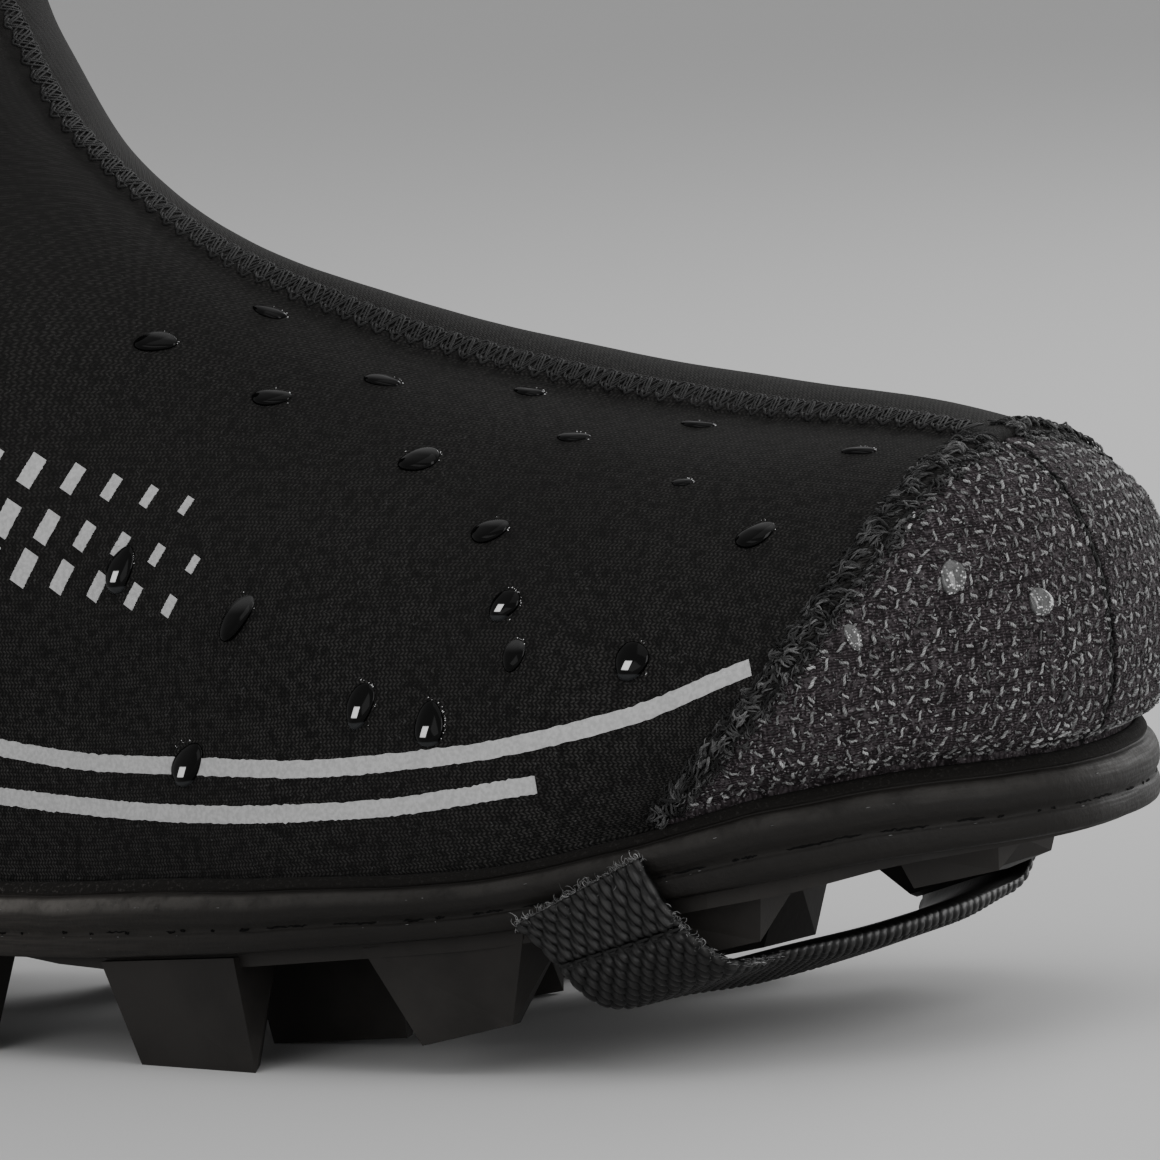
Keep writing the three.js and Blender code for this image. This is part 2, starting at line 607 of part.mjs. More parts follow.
// Insole: lies on the plate inside the upper
function insoleGeometry() {
  const stations = STATIONS.map((x) => slide(x, INSOLE_INSET));
  return slabGeometry(
    stations,
    (side, x) => outlineHalf(side, x, INSOLE_INSET),
    (x) => plateTop(x) + GAP,
    (x) => plateTop(x) + GAP + INSOLE_THICKNESS
  );
}

// Strap: a band of webbing sewn to the rand and laid under the tips of the toe lugs
function strapGeometry() {
  const middle = SHOE_LENGTH * STRAP_ALONG;
  const inner = STRAP_STATIONS.map(({ side, lean, drop, skew }) =>
    [-0.5, 0.5].map((edge) => {
      const x = middle + (edge + lean) * STRAP_WIDTH;
      const half = outlineHalf(side < 0 ? LATERAL : MEDIAL, x, -GAP - STRAP_STANDOFF);
      const top = THREE.MathUtils.lerp(randBottom(x), randTop(x), STRAP_REACH);
      const down = edge < 0 ? drop + skew : drop;
      const z = THREE.MathUtils.lerp(top, treadHeight(x) - STRAP_SLACK, down);
      return new THREE.Vector3(x, side * half, z);
    })
  );
  const points = [];
  inner.forEach((pair, i) => {
    const before = inner[Math.max(0, i - 1)];
    const after = inner[Math.min(inner.length - 1, i + 1)];
    pair.forEach((point, edge) => {
      const along = after[edge].clone().sub(before[edge]);
      const across = pair[1].clone().sub(pair[0]);
      const outwards = across.cross(along).normalize();
      points.push(point, point.clone().addScaledVector(outwards, -STRAP_THICKNESS));
    });
  });
  const faces = [[0, 1, 3, 2]];
  const last = (inner.length - 1) * 4;
  for (let a = 0; a < last; a += 4) {
    const b = a + 4;
    faces.push([a + 1, b + 1, b + 3, a + 3], [a, a + 2, b + 2, b]);
    faces.push([a, b, b + 1, a + 1], [a + 2, a + 3, b + 3, b + 2]);
  }
  faces.push([last, last + 2, last + 3, last + 1]);
  return closedGeometry(points, faces);
}

// The assembly, centred over its standing surface
const overshoe = new THREE.Group();
function addPiece(name, geometry, material) {
  const mesh = new THREE.Mesh(geometry, material);
  mesh.name = name;
  overshoe.add(mesh);
}
addPiece("upper", upperGeometry(), neoprene);
addPiece("toe_cap", capGeometry(), textile);
addPiece("rand", randGeometry(), rubber);
addPiece("outsole", outsoleGeometry(), soleRubber);
addPiece("insole", insoleGeometry(), felt);
addPiece("strap", strapGeometry(), webbing);

const box = new THREE.Box3().setFromObject(overshoe);
const centre = box.getCenter(new THREE.Vector3());
overshoe.position.set(-centre.x, -centre.y, -box.min.z);

export default overshoe;
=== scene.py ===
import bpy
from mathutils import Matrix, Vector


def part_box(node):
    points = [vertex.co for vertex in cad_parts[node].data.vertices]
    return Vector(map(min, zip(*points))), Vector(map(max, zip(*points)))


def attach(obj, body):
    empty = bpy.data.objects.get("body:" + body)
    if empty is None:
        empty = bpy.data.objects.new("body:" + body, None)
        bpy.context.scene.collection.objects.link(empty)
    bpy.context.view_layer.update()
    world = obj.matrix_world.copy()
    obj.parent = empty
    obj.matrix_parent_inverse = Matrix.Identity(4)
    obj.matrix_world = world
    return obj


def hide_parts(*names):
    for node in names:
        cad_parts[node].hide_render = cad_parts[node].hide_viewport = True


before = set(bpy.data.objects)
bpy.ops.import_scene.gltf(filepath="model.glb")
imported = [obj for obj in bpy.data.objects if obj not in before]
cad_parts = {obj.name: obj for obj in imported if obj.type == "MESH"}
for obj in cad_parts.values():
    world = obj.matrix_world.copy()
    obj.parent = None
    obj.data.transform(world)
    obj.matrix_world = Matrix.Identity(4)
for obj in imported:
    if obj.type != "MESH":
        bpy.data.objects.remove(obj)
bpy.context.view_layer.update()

import math

import bmesh
import bpy
import numpy as np
from mathutils import Matrix

# A black neoprene cycling overshoe for the right foot, on a lugged rubber sole. Lengths are in metres.
# +X points to the toe, +Z up, -Y to the outer side.

MM = 0.001
TURN = 2 * math.pi
TINY = 1e-12
KNIT_COLUMN = 0.69 * MM
KNIT_ROW = 0.56 * MM
CAP_RIB = 0.42 * MM
CAP_LOOP = 0.75 * MM
rng = np.random.default_rng(11)

# Camera

# The camera looks at the forefoot from in front of the outer side, close to the floor.
CAMERA_PLACE = (0.912404, -1.231874, 0.219125)
CAMERA_AZIMUTH = math.radians(34.649)
CAMERA_ELEVATION = math.radians(5.917)
CAMERA_ROLL = math.radians(4.510)
CAMERA_LENS = 326.63
CAMERA_SENSOR = 36
CAMERA_CLIP = (0.01, 100)


def placed(right, up, back, place):
    """Matrix of an object from its three directions and its place."""
    columns = np.eye(4)
    columns[:3] = np.stack([right, up, back, place], -1)
    return Matrix(columns.tolist())


def unit(vectors):
    """The vectors, each brought to a length of one."""
    return vectors / (np.linalg.norm(vectors, axis=-1, keepdims=True) + TINY)


def add_camera():
    """A camera turned by its azimuth, its elevation and a roll about its own axis."""
    back = np.array([
        math.sin(CAMERA_AZIMUTH) * math.cos(CAMERA_ELEVATION),
        -math.cos(CAMERA_AZIMUTH) * math.cos(CAMERA_ELEVATION),
        math.sin(CAMERA_ELEVATION),
    ])
    level = np.array([math.cos(CAMERA_AZIMUTH), math.sin(CAMERA_AZIMUTH), 0.0])
    upright = np.cross(back, level)
    right = level * math.cos(CAMERA_ROLL) - upright * math.sin(CAMERA_ROLL)
    up = level * math.sin(CAMERA_ROLL) + upright * math.cos(CAMERA_ROLL)
    data = bpy.data.cameras.new("camera")
    data.sensor_width = CAMERA_SENSOR
    data.lens = CAMERA_LENS
    data.clip_start, data.clip_end = CAMERA_CLIP
    camera = bpy.data.objects.new("camera", data)
    bpy.context.scene.collection.objects.link(camera)
    camera.matrix_world = placed(right, up, back, CAMERA_PLACE)
    bpy.context.scene.camera = camera


add_camera()

# Sizes of the shoe

SHOE_LENGTH = 295 * MM
BALL_WIDTH = 104 * MM
INSTEP_HEIGHT = 112 * MM
SHAFT_HEIGHT = 198 * MM
SHAFT_WIDTH = 82 * MM
SHAFT_BACK_ROUND = 44 * MM
TOE_ROUND = 42 * MM
HEEL_ROUND = 37 * MM
TOE_RISE = 14 * MM
WALL = 3.5 * MM
CAP_THICKNESS = 1.2 * MM
CAP_RECESS = 1.5 * MM
BORDER_BOW = 6.5 * MM
MEDIAL_LIFT = 2.7 * MM
TOE_FULLNESS = 2.8 * MM
# Where the toe's fullness starts, eases and ends by height over the rand, and where it starts along the toe
FULL_FOOT = (-0.3 * MM, 2.2 * MM)
FULL_EASE = (6 * MM, 26 * MM)
FULL_EASE_SHARE = 0.62
FULL_TOP = (44 * MM, 28 * MM)
FULL_ALONG = (-12 * MM, 22 * MM)
SEAM_WIDTH = 5 * MM
RAND_THICKNESS = 3 * MM
RAND_HEIGHT = 10.5 * MM
RAND_LIFT = 2.2 * MM
PLATE_THICKNESS = 7 * MM
LUG_HEIGHT = 13 * MM
STRAP_WIDTH = 19 * MM
STRAP_SLACK = 0.8 * MM
STRAP_STANDOFF = 0.6 * MM
GAP = 0.3 * MM
UPPER_INSET = RAND_THICKNESS + GAP
HOLD_OVER = 0.8 * MM
LATERAL = -1
MEDIAL = 1

# Columns: along, lateral, medial
FOOT_WIDTHS = np.array([
    [0, 0.71, 0.71], [0.12, 0.73, 0.73], [0.31, 0.74, 0.69], [0.43, 0.81, 0.68], [0.56, 0.93, 0.83],
    [0.65, 1, 0.95], [0.73, 1, 1], [0.83, 0.91, 0.99], [0.915, 0.81, 0.95], [1, 0.69, 0.9],
])
# Columns: along, rise, rand, tread
SOLE_LINES = np.array([
    [0, 0.04, 1.05, 0.15], [0.04, 0.01, 1.03, 0], [0.1, 0, 1, 0], [0.23, 0.04, 0.98, 0],
    [0.32, 0.06, 0.98, 0], [0.39, 0.03, 1, 0], [0.45, 0, 1.02, 0], [0.515, 0.04, 1.04, 0],
    [0.549, 0.08, 1.05, 0], [0.615, 0.17, 1, 0], [0.644, 0.22, 0.97, 0.11], [0.71, 0.32, 0.89, 0.345],
    [0.76, 0.41, 0.87, 0.577], [0.824, 0.61, 0.93, 1.14], [0.868, 0.76, 1.04, 1.31],
    [0.898, 0.85, 1.12, 1.54], [0.95, 0.99, 1.12, 1.86], [1, 1.02, 1.04, 1.95],
])
# Columns: up, wide
SHAFT_WIDTHS = np.array([[0.3, 0.92], [0.45, 0.95], [0.53, 0.99], [0.66, 0.97], [0.8, 0.98], [1, 1.03]])
# Columns: up, back
BACK_LINE = np.array([
    [0, 0], [0.11, -0.007], [0.31, 0.003], [0.5, 0.0245], [0.68, 0.0405], [0.84, 0.043], [1, 0.036],
])
# Sections of the upper, fanned from the toe to the collar.
# Columns: ridge, foot, shaft, base, up, crown, full, flat, lift, leg, bow
SECTIONS = np.array([
    [1, 0, 0, 1, 0, 1, 2.1, 2.1, 0, 0, 0],
    [1.012, 0.135, 0, 0.985, 0, 1, 2.1, 2.1, 0, 0, 0],
    [1.0158, 0.294, 0, 0.959, 0, 1, 2.1, 2.15, 0, 0, 0.1],
    [1.005, 0.449, 0, 0.925, 0, 1, 2.1, 2.15, 0, 0, 0.3],
    [0.987, 0.547, 0, 0.888, 0, 1, 2.05, 2.2, 0.1, 0, 0.7],
    [0.9675, 0.592, 0, 0.849, 0, 1, 2.05, 2.25, 0.2, 0, 1],
    [0.9479, 0.6115, 0, 0.8305, 0, 1, 2.05, 2.4, 0.4, 0, 1],
    [0.9016, 0.637, 0, 0.797, 0, 1, 2.05, 2.7, 0.75, 0, 0.7],
    [0.8468, 0.656, 0, 0.759, 0, 1, 2.1, 2.9, 0.95, 0, 0.3],
    [0.7816, 0.693, 0, 0.715, 0, 1, 2.1, 3, 1, 0, 0],
    [0.7165, 0.741, 0, 0.668, 0, 1, 2.1, 3, 1, 0, 0],
    [0.6514, 0.801, 0, 0.617, 0, 1, 2.1, 2.9, 1, 0, 0],
    [0.5828, 0.891, 0, 0.556, 0, 1, 2.1, 2.6, 0.9, 0, 0],
    [0.5211, 0.997, 0, 0.481, 0, 0.95, 2.1, 2.3, 0.6, 0.1, 0],
    [0.4667, 1, 0.116, 0.373, 0, 0.7, 2.1, 2.1, 0.2, 0.5, 0],
    [0.4245, 1, 0.25, 0.237, 0, 0.48, 2.1, 2.05, 0, 0.9, 0],
    [0.4035, 1, 0.374, 0.105, 0, 0.37, 2.05, 2, 0, 1, 0],
    [0.3895, 1, 0.477, 0, 0, 0.34, 2, 2, 0, 1, 0],
    [0.379, 1, 0.58, 0, 0.11, 0.35, 2, 2, 0, 1, 0],
    [0.371, 1, 0.686, 0, 0.31, 0.39, 2, 2, 0, 1, 0],
    [0.3651, 1, 0.8, 0, 0.51, 0.44, 2, 2, 0, 1, 0],
    [0.36, 1, 0.907, 0, 0.71, 0.48, 2, 2, 0, 1, 0],
    [0.3565, 1, 1, 0, 0.99, 0.5, 2, 2, 0, 1, 0],
])
CAP_ROW = 5
SEAM_ROW = 6
HEEL_ROW = 17
COLLAR_ROW = len(SECTIONS) - 1
FOOT_EVENNESS = 0.25
LIFT_PEAK = 27 / 4
# Sections to each side over which the ridge's slope is taken, and shares of the shaft's height between
# which the foot goes over into the leg
SLOPE_REACH = 0.25
LEG_BLEND = (0.36, 0.64)

# Columns: out, up
RAND_PROFILE = np.array([
    [0, 0], [0.8, 0], [1, 0.08], [1, 0.27], [0.82, 0.31], [0.86, 0.37], [1.08, 0.46], [1.08, 0.64],
    [0.8, 0.79], [0.42, 0.82], [0.62, 0.86], [0.6, 0.98], [0, 1],
])
# Columns: side, lean, drop, skew
STRAP_STATIONS = np.array([
    [-1, -0.46, 0.05, 0.26], [-1, -0.32, 0.4, 0.06], [-0.985, -0.14, 0.7, 0.05], [-0.93, -0.05, 0.9, 0.09],
    [-0.86, 0, 1, 0.08], [-0.5, 0, 1.02, 0.08], [0, -0.02, 1.05, 0.08], [0.5, -0.14, 1.03, 0.07],
    [0.83, -0.3, 1, 0.05], [0.91, -0.35, 0.9, 0], [0.98, -0.4, 0.7, 0], [1, -0.45, 0.4, 0], [1, -0.5, 0, 0],
])
STRAP_ALONG = 0.842
STRAP_REACH = 0.75


def smooth_line(at, value):
    """A cubic through the points whose slope at each is the harmonic mean of its neighbours' slopes,
    or zero at a turn, so that it never overshoots."""
    at, value = np.asarray(at, float), np.asarray(value, float)
    slope = np.diff(value) / np.diff(at)
    product = slope[:-1] * slope[1:]
    total = np.where(product > 0, slope[:-1] + slope[1:], 1)
    tangent = np.concatenate([slope[:1], np.where(product > 0, 2 * product / total, 0), slope[-1:]])

    def line(place):
        t = np.clip(place, at[0], at[-1])
        i = np.clip(np.searchsorted(at, t) - 1, 0, len(at) - 2)
        step = at[i + 1] - at[i]
        k = (t - at[i]) / step
        rest = 1 - k
        return (value[i] * (1 + 2 * k) * rest * rest + value[i + 1] * (3 - 2 * k) * k * k
                + step * (tangent[i] * k * rest * rest - tangent[i + 1] * k * k * rest))

    return line


lateral_width = smooth_line(FOOT_WIDTHS[:, 0], FOOT_WIDTHS[:, 1])
medial_width = smooth_line(FOOT_WIDTHS[:, 0], FOOT_WIDTHS[:, 2])
rise_share = smooth_line(SOLE_LINES[:, 0], SOLE_LINES[:, 1])
rand_share = smooth_line(SOLE_LINES[:, 0], SOLE_LINES[:, 2])
tread_share = smooth_line(SOLE_LINES[:, 0], SOLE_LINES[:, 3])
shaft_share = smooth_line(SHAFT_WIDTHS[:, 0], SHAFT_WIDTHS[:, 1])
back_share = smooth_line(BACK_LINE[:, 0], BACK_LINE[:, 1])
rows = np.arange(len(SECTIONS))
NAMES = ["ridge", "foot", "shaft", "base", "up", "crown", "full", "flat", "lift", "leg", "bow"]
fan = {name: smooth_line(rows, SECTIONS[:, i]) for i, name in enumerate(NAMES)}


def plate_top(x):
    return LUG_HEIGHT + TOE_RISE * rise_share(x / SHOE_LENGTH) + PLATE_THICKNESS


def rand_bottom(x):
    return plate_top(x) - PLATE_THICKNESS + RAND_LIFT


def rand_top(x):
    return rand_bottom(x) + RAND_HEIGHT * rand_share(x / SHOE_LENGTH)


def hold_top(x):
    return rand_top(x) + HOLD_OVER


def tread_height(x):
    return LUG_HEIGHT * tread_share(x / SHOE_LENGTH)


TOE_CENTRE = SHOE_LENGTH - TOE_ROUND
TOE_HOLD = float(hold_top(SHOE_LENGTH))
HEEL_HOLD = float(hold_top(0.0))
ridge_height = smooth_line(
    rows,
    TOE_HOLD + (INSTEP_HEIGHT - TOE_HOLD) * SECTIONS[:, 1] + (SHAFT_HEIGHT - INSTEP_HEIGHT) * SECTIONS[:, 2],
)


def foot_half(side, x):
    """Half width of the foot at a station, from the widths of its outer or inner side."""
    share = x / SHOE_LENGTH
    return BALL_WIDTH / 2 * np.where(np.asarray(side) < 0, lateral_width(share), medial_width(share))


def slide(x, inset):
    """Moves a station inwards with its outline: only the round toe and heel get shorter."""
    toe = TOE_CENTRE + (x - TOE_CENTRE) * (TOE_ROUND - inset) / TOE_ROUND
    heel = HEEL_ROUND - (HEEL_ROUND - x) * (HEEL_ROUND - inset) / HEEL_ROUND
    return np.where(x > TOE_CENTRE, toe, np.where(x < HEEL_ROUND, heel, x))


def arc(share):
    """Height of a quarter circle at a share of its radius."""
    return np.sqrt(np.clip(1 - share * share, 0, None))


def toe_round(x, inset):
    """Share of the width that the round toe leaves at a station."""
    return arc(np.maximum(0, x - TOE_CENTRE) / (TOE_ROUND - inset))


def outline_half(side, x, inset):
    """Half width of the outline from below: the foot's half width, closed by a round arc at each end."""
    heel = arc(np.maximum(0, HEEL_ROUND - x) / (HEEL_ROUND - inset))
    return (foot_half(side, x) - inset) * toe_round(x, inset) * heel


def back_line(z):
    """How far the back of the heel and the shaft stands forward at a height."""
    return SHOE_LENGTH * back_share((z - HEEL_HOLD) / (SHAFT_HEIGHT - HEEL_HOLD))


def smoothstep(value, low, high):
    """0 at low and 1 at high, with a level start and end."""
    t = np.clip((value - low) / (high - low), 0, 1)
    return t * t * (3 - 2 * t)


def mix(a, b, t):
    """The value at a share t of the way from a to b."""
    return a + (b - a) * t


# The CAD is centred over its box; its rand is as wide on both sides
rand_low, rand_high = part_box("rand")
OFFSET = np.array([rand_low[0] + 0.08 * RAND_THICKNESS, (rand_low[1] + rand_high[1]) / 2, 0.0])


def upper_point(u, side, share, skin=0.0):
    """A point of the upper: a straight line from the ridge to the base at section u, bent forward by the
    border's bow, with a half width that follows a superellipse near the ridge and an arc at the back. Low on
    the toe it is pushed outwards by the fullness. skin moves the surface inwards."""
    u, side, share, skin = np.broadcast_arrays(*[np.asarray(v, float) for v in (u, side, share, skin)])
    inset = UPPER_INSET + skin
    ridge = np.stack([(SHOE_LENGTH - UPPER_INSET) * fan["ridge"](u), ridge_height(u)], -1)
    near, far = np.maximum(0, u - SLOPE_REACH), np.minimum(COLLAR_ROW, u + SLOPE_REACH)
    dx = (SHOE_LENGTH - UPPER_INSET) * (fan["ridge"](far) - fan["ridge"](near))
    dz = ridge_height(far) - ridge_height(near)
    inwards = unit(np.stack([-dz, dx], -1))
    inwards = unit(mix(inwards, np.array([-1.0, 0.0]), np.maximum(0, 1 - u)[..., None]))
    ridge = ridge + inwards * skin[..., None]
    on_foot = u <= HEEL_ROW
    z_back = HEEL_HOLD + (SHAFT_HEIGHT - HEEL_HOLD) * fan["up"](u)
    x_foot = slide(SHOE_LENGTH * fan["base"](u), inset)
    base_x = np.where(on_foot, x_foot, inset + back_line(z_back))
    base_z = np.where(on_foot, hold_top(x_foot), z_back)
    x = mix(ridge[..., 0], base_x, share) + BORDER_BOW * fan["bow"](u) * 4 * share * (1 - share)
    z = mix(ridge[..., 1], base_z, share)
    leg = smoothstep(z / SHAFT_HEIGHT, *LEG_BLEND)
    foot = foot_half(side, mix(base_x, x, fan["leg"](u))) - UPPER_INSET
    shaft = SHAFT_WIDTH / 2 * shaft_share(z / SHAFT_HEIGHT)
    half = mix(foot, shaft, leg) - skin
    back_radius = mix(HEEL_ROUND - UPPER_INSET, SHAFT_BACK_ROUND, leg) - skin
    back = arc(1 - np.clip((x - inset - back_line(z)) / back_radius, 0, 1))
    full = np.where(side < 0, fan["full"](u), fan["flat"](u))
    left = 1 - np.minimum(share / fan["crown"](u), 1)
    crown = (1 - left ** full) ** (1 / full)
    y = side * half * toe_round(base_x, inset) * back * crown
    fade = np.where(side < 0, -((1 - crown) ** 4), (1 - crown) ** 2)
    lift = MEDIAL_LIFT * fan["lift"](u) * LIFT_PEAK * crown * fade
    level = z - hold_top(x)
    eased = 1 - FULL_EASE_SHARE * smoothstep(level, *FULL_EASE)
    fullness = TOE_FULLNESS * smoothstep(level, *FULL_FOOT) * eased
    fullness = fullness * smoothstep(level, *FULL_TOP) * smoothstep(x - TOE_CENTRE, *FULL_ALONG)
    out_x = np.maximum(x - TOE_CENTRE, 0)
    reach = np.hypot(out_x, y) + 1 * MM
    return np.stack([x + fullness * out_x / reach, y + fullness * y / reach, z + lift], -1) + OFFSET


def spread(u, t):
    """Share of a section at an even step t from ridge to base: cosine steps, close where it is round."""
    on_foot = 1 - np.cos(t * np.pi / 2)
    on_leg = (1 - np.cos(t * np.pi)) / 2
    return mix(on_foot, on_leg, mix(FOOT_EVENNESS, 1, fan["leg"](u)))


WIDTH_SEARCH_END = 0.4
WIDTH_HALVINGS = 22


def share_at_width(u, y):
    """The share at which a section is as wide as y, found by halving."""
    side = np.where(y < 0, LATERAL, MEDIAL)
    low, high = np.zeros_like(y), np.full_like(y, WIDTH_SEARCH_END)
    for _ in range(WIDTH_HALVINGS):
        middle = (low + high) / 2
        reach = np.abs(upper_point(u, side, middle)[..., 1] - OFFSET[1])
        low, high = np.where(reach < np.abs(y), middle, low), np.where(reach < np.abs(y), high, middle)
    return (low + high) / 2


SEARCH_SECTIONS = np.linspace(0.2, 21.5, 160)
SEARCH_SHARES = np.linspace(0.02, 0.99, 60)
SEARCH_STEP = 1e-3
# Rounds, reach in u and t, smallest parallelogram of the tangents, and ranges of u and t
SIDE_FOLLOW = (6, (0.3, 0.1), 1e-9, (0.02, COLLAR_ROW), (0.001, 0.999))
FRAME_STEP = 2e-3
TOE_FRONT = (235 * MM, 275 * MM)


def follow(read, target, u, t, rounds, reach, smallest, u_range, t_range):
    """Moves u and t along the two tangents of a surface, by at most a reach each round and within their
    ranges, so that the two values that read gives there come to the target. A parallelogram of the
    tangents counts as no smaller than smallest."""
    for _ in range(rounds):
        here = read(u, t)
        by_u = (read(u + SEARCH_STEP, t) - here) / SEARCH_STEP
        by_t = (read(u, t + SEARCH_STEP) - here) / SEARCH_STEP
        miss = target - here
        area = by_u[0] * by_t[1] - by_u[1] * by_t[0]
        area = np.where(np.abs(area) < smallest, smallest, area)
        step_u = np.clip((miss[0] * by_t[1] - miss[1] * by_t[0]) / area, -reach[0], reach[0])
        step_t = np.clip((by_u[0] * miss[1] - by_u[1] * miss[0]) / area, -reach[1], reach[1])
        u, t = np.clip(u + step_u, *u_range), np.clip(t + step_t, *t_range)
    return u, t


def find_on_side(x, z, side):
    """Section and share of the surface point seen at x and z from the side: the nearest node of a coarse
    grid, then steps along the two tangents."""
    target = np.stack(np.broadcast_arrays(np.atleast_1d(x), np.atleast_1d(z))).astype(float)
    grid_u, grid_t = np.meshgrid(SEARCH_SECTIONS, SEARCH_SHARES, indexing="ij")
    read = lambda u, t: np.moveaxis(upper_point(u, side, t)[..., [0, 2]], -1, 0)
    off = read(grid_u, grid_t).reshape(2, -1, 1) - target[:, None]
    nearest = np.argmin(off[0] ** 2 + off[1] ** 2, axis=0)
    start = grid_u.ravel()[nearest], grid_t.ravel()[nearest]
    return follow(read, target, *start, *SIDE_FOLLOW)


def surface_frame(u, side, share, skin=0.0):
    """Point, unit tangent along the shoe, unit tangent down the section and outward normal. The normal is
    turned to face up and sideways and, at the front of the toe, forward."""
    side = np.asarray(side, float)
    here = upper_point(u, side, share, skin)
    along = unit(upper_point(np.asarray(u) - FRAME_STEP, side, share, skin) - here)
    down = upper_point(u, side, np.asarray(share) + FRAME_STEP, skin) - here
    normal = unit(np.cross(down, along) * side[..., None] * -1)
    front = smoothstep(here[..., 0] - OFFSET[0], *TOE_FRONT)
    outwards = np.stack([front, side * np.ones_like(front) * 0.5, 0.5 - 0.3 * front], -1)
    facing = np.sign(np.sum(normal * outwards, -1, keepdims=True))
    normal = normal * np.where(facing == 0, 1, facing)
    return here, along, np.cross(along, normal), normal


# Mesh helpers

FINE_WELD = 1e-7
SHELL_WELD = 2e-6


def make_piece(name, points, faces, material, uv=None, weld=0.0, smooth=True, height=None):
    """A mesh object at the origin that rides on the shoe, from points and corner lists."""
    mesh = bpy.data.meshes.new(name)
    mesh.from_pydata(points.reshape(-1, 3).tolist(), [], faces)
    corner = np.empty(len(mesh.loops), np.int32)
    mesh.loops.foreach_get("vertex_index", corner)
    for title, values in (("cloth", uv), ("height", height)):
        if values is not None:
            layer = mesh.uv_layers.new(name=title)
            layer.data.foreach_set("uv", values.reshape(-1, 2)[corner].astype(np.float32).ravel())
    if weld:
        work = bmesh.new()
        work.from_mesh(mesh)
        bmesh.ops.remove_doubles(work, verts=work.verts, dist=weld)
        if work.calc_volume(signed=True) < 0:
            bmesh.ops.reverse_faces(work, faces=work.faces)
        work.to_mesh(mesh)
        work.free()
    mesh.materials.append(material)
    mesh.polygons.foreach_set("use_smooth", [smooth] * len(mesh.polygons))
    mesh.update()
    piece = bpy.data.objects.new(name, mesh)
    bpy.context.scene.collection.objects.link(piece)
    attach(piece, "root")
    return piece


def grid_faces(rows_count, columns_count, start=0, flip=False, closed=False, ring=False):
    """Four-cornered faces of a grid of points, row by row; closed joins the last column to the first, and
    ring the last row to the first."""
    index = start + np.arange(rows_count * columns_count).reshape(rows_count, columns_count)
    if closed:
        index = np.concatenate([index, index[:, :1]], axis=1)
    if ring:
        index = np.concatenate([index, index[:1]], axis=0)
    quads = np.stack([index[:-1, :-1], index[:-1, 1:], index[1:, 1:], index[1:, :-1]], -1).reshape(-1, 4)
    return (quads[:, ::-1] if flip else quads).tolist()


USUAL_GRADE = 4
TOP_GRADE = 7
GRADE_MARGIN = 0.02


def grades(values, low=0, high=TOP_GRADE):
    """Grades of brightness as whole numbers from low to high."""
    return np.clip(np.round(values), low, high)


def threads(paths, normals, radius, height=None, sides=6, grade=None):
    """Tubes along many paths at once. Each ring is an ellipse in the plane of the surface normal and the
    cross direction; the first and last ring shrink to a point. Returns points, faces and a map of
    length along the tube by angle round it, to which each thread's grade of brightness, a whole number
    from 0 to 7, is added."""
    paths, normals = np.asarray(paths, float), np.asarray(normals, float)
    count, length = paths.shape[:2]
    tangent = unit(np.gradient(paths, axis=1))
    across = unit(np.cross(tangent, normals))
    upwards = np.cross(across, tangent)
    angle = np.arange(sides) / sides * TURN
    travelled = np.concatenate([
        np.zeros((count, 1)), np.cumsum(np.linalg.norm(np.diff(paths, axis=1), axis=-1), axis=1)], axis=1)
    taper = np.ones(length)
    taper[0] = taper[-1] = 0.0
    wide = np.broadcast_to(np.asarray(radius, float), (count, length)) * taper
    high = wide if height is None else np.broadcast_to(np.asarray(height, float), (count, length)) * taper
    ring = (paths[:, :, None] + np.cos(angle)[:, None] * (across * wide[..., None])[:, :, None]
            + np.sin(angle)[:, None] * (upwards * high[..., None])[:, :, None])
    index = np.arange(count * length * sides).reshape(count, length, sides)
    index = np.concatenate([index, index[:, :, :1]], axis=2)
    quads = np.stack([index[:, :-1, :-1], index[:, 1:, :-1], index[:, 1:, 1:], index[:, :-1, 1:]], -1)
    grade = np.full(count, USUAL_GRADE) if grade is None else np.asarray(grade)
    around = np.broadcast_to(angle / TURN + GRADE_MARGIN, ring.shape[:3]) + grade[:, None, None]
    uv = np.stack([np.broadcast_to(travelled[..., None], ring.shape[:3]), around], -1)
    return ring.reshape(-1, 3), quads.reshape(-1, 4).tolist(), uv.reshape(-1, 2)


def thread_piece(name, paths, normals, radius, material, height=None, sides=6, grade=None):
    """One piece of many closed tubes."""
    points, faces, uv = threads(paths, normals, radius, height, sides, grade)
    return make_piece(name, points, faces, material, uv=uv, weld=FINE_WELD)


def joined(parts):
    """Several (points, faces, map) sets as one."""
    points, faces, maps, start = [], [], [], 0
    for part_points, part_faces, part_map in parts:
        points.append(part_points)
        faces += (np.asarray(part_faces) + start).tolist()
        maps.append(part_map)
        start += len(part_points)
    return np.concatenate(points), faces, np.concatenate(maps)


def joined_piece(name, parts, material, smooth=True):
    """One piece of several (points, faces, map) sets."""
    points, faces, uv = joined(parts)
    return make_piece(name, points, faces, material, uv=uv, weld=FINE_WELD, smooth=smooth)


def travelled_along(path):
    """Length travelled from the start of a path to each of its points."""
    return np.concatenate([[0], np.cumsum(np.linalg.norm(np.diff(path, axis=0), axis=1))])


def resample(path, values, places):
    """Values of a path at places along its length."""
    lengths = travelled_along(path)
    if values.ndim == 1:
        return np.interp(places, lengths, values)
    return np.stack([np.interp(places, lengths, values[:, k]) for k in range(values.shape[1])], -1)


def path_length(path):
    return float(travelled_along(path)[-1])


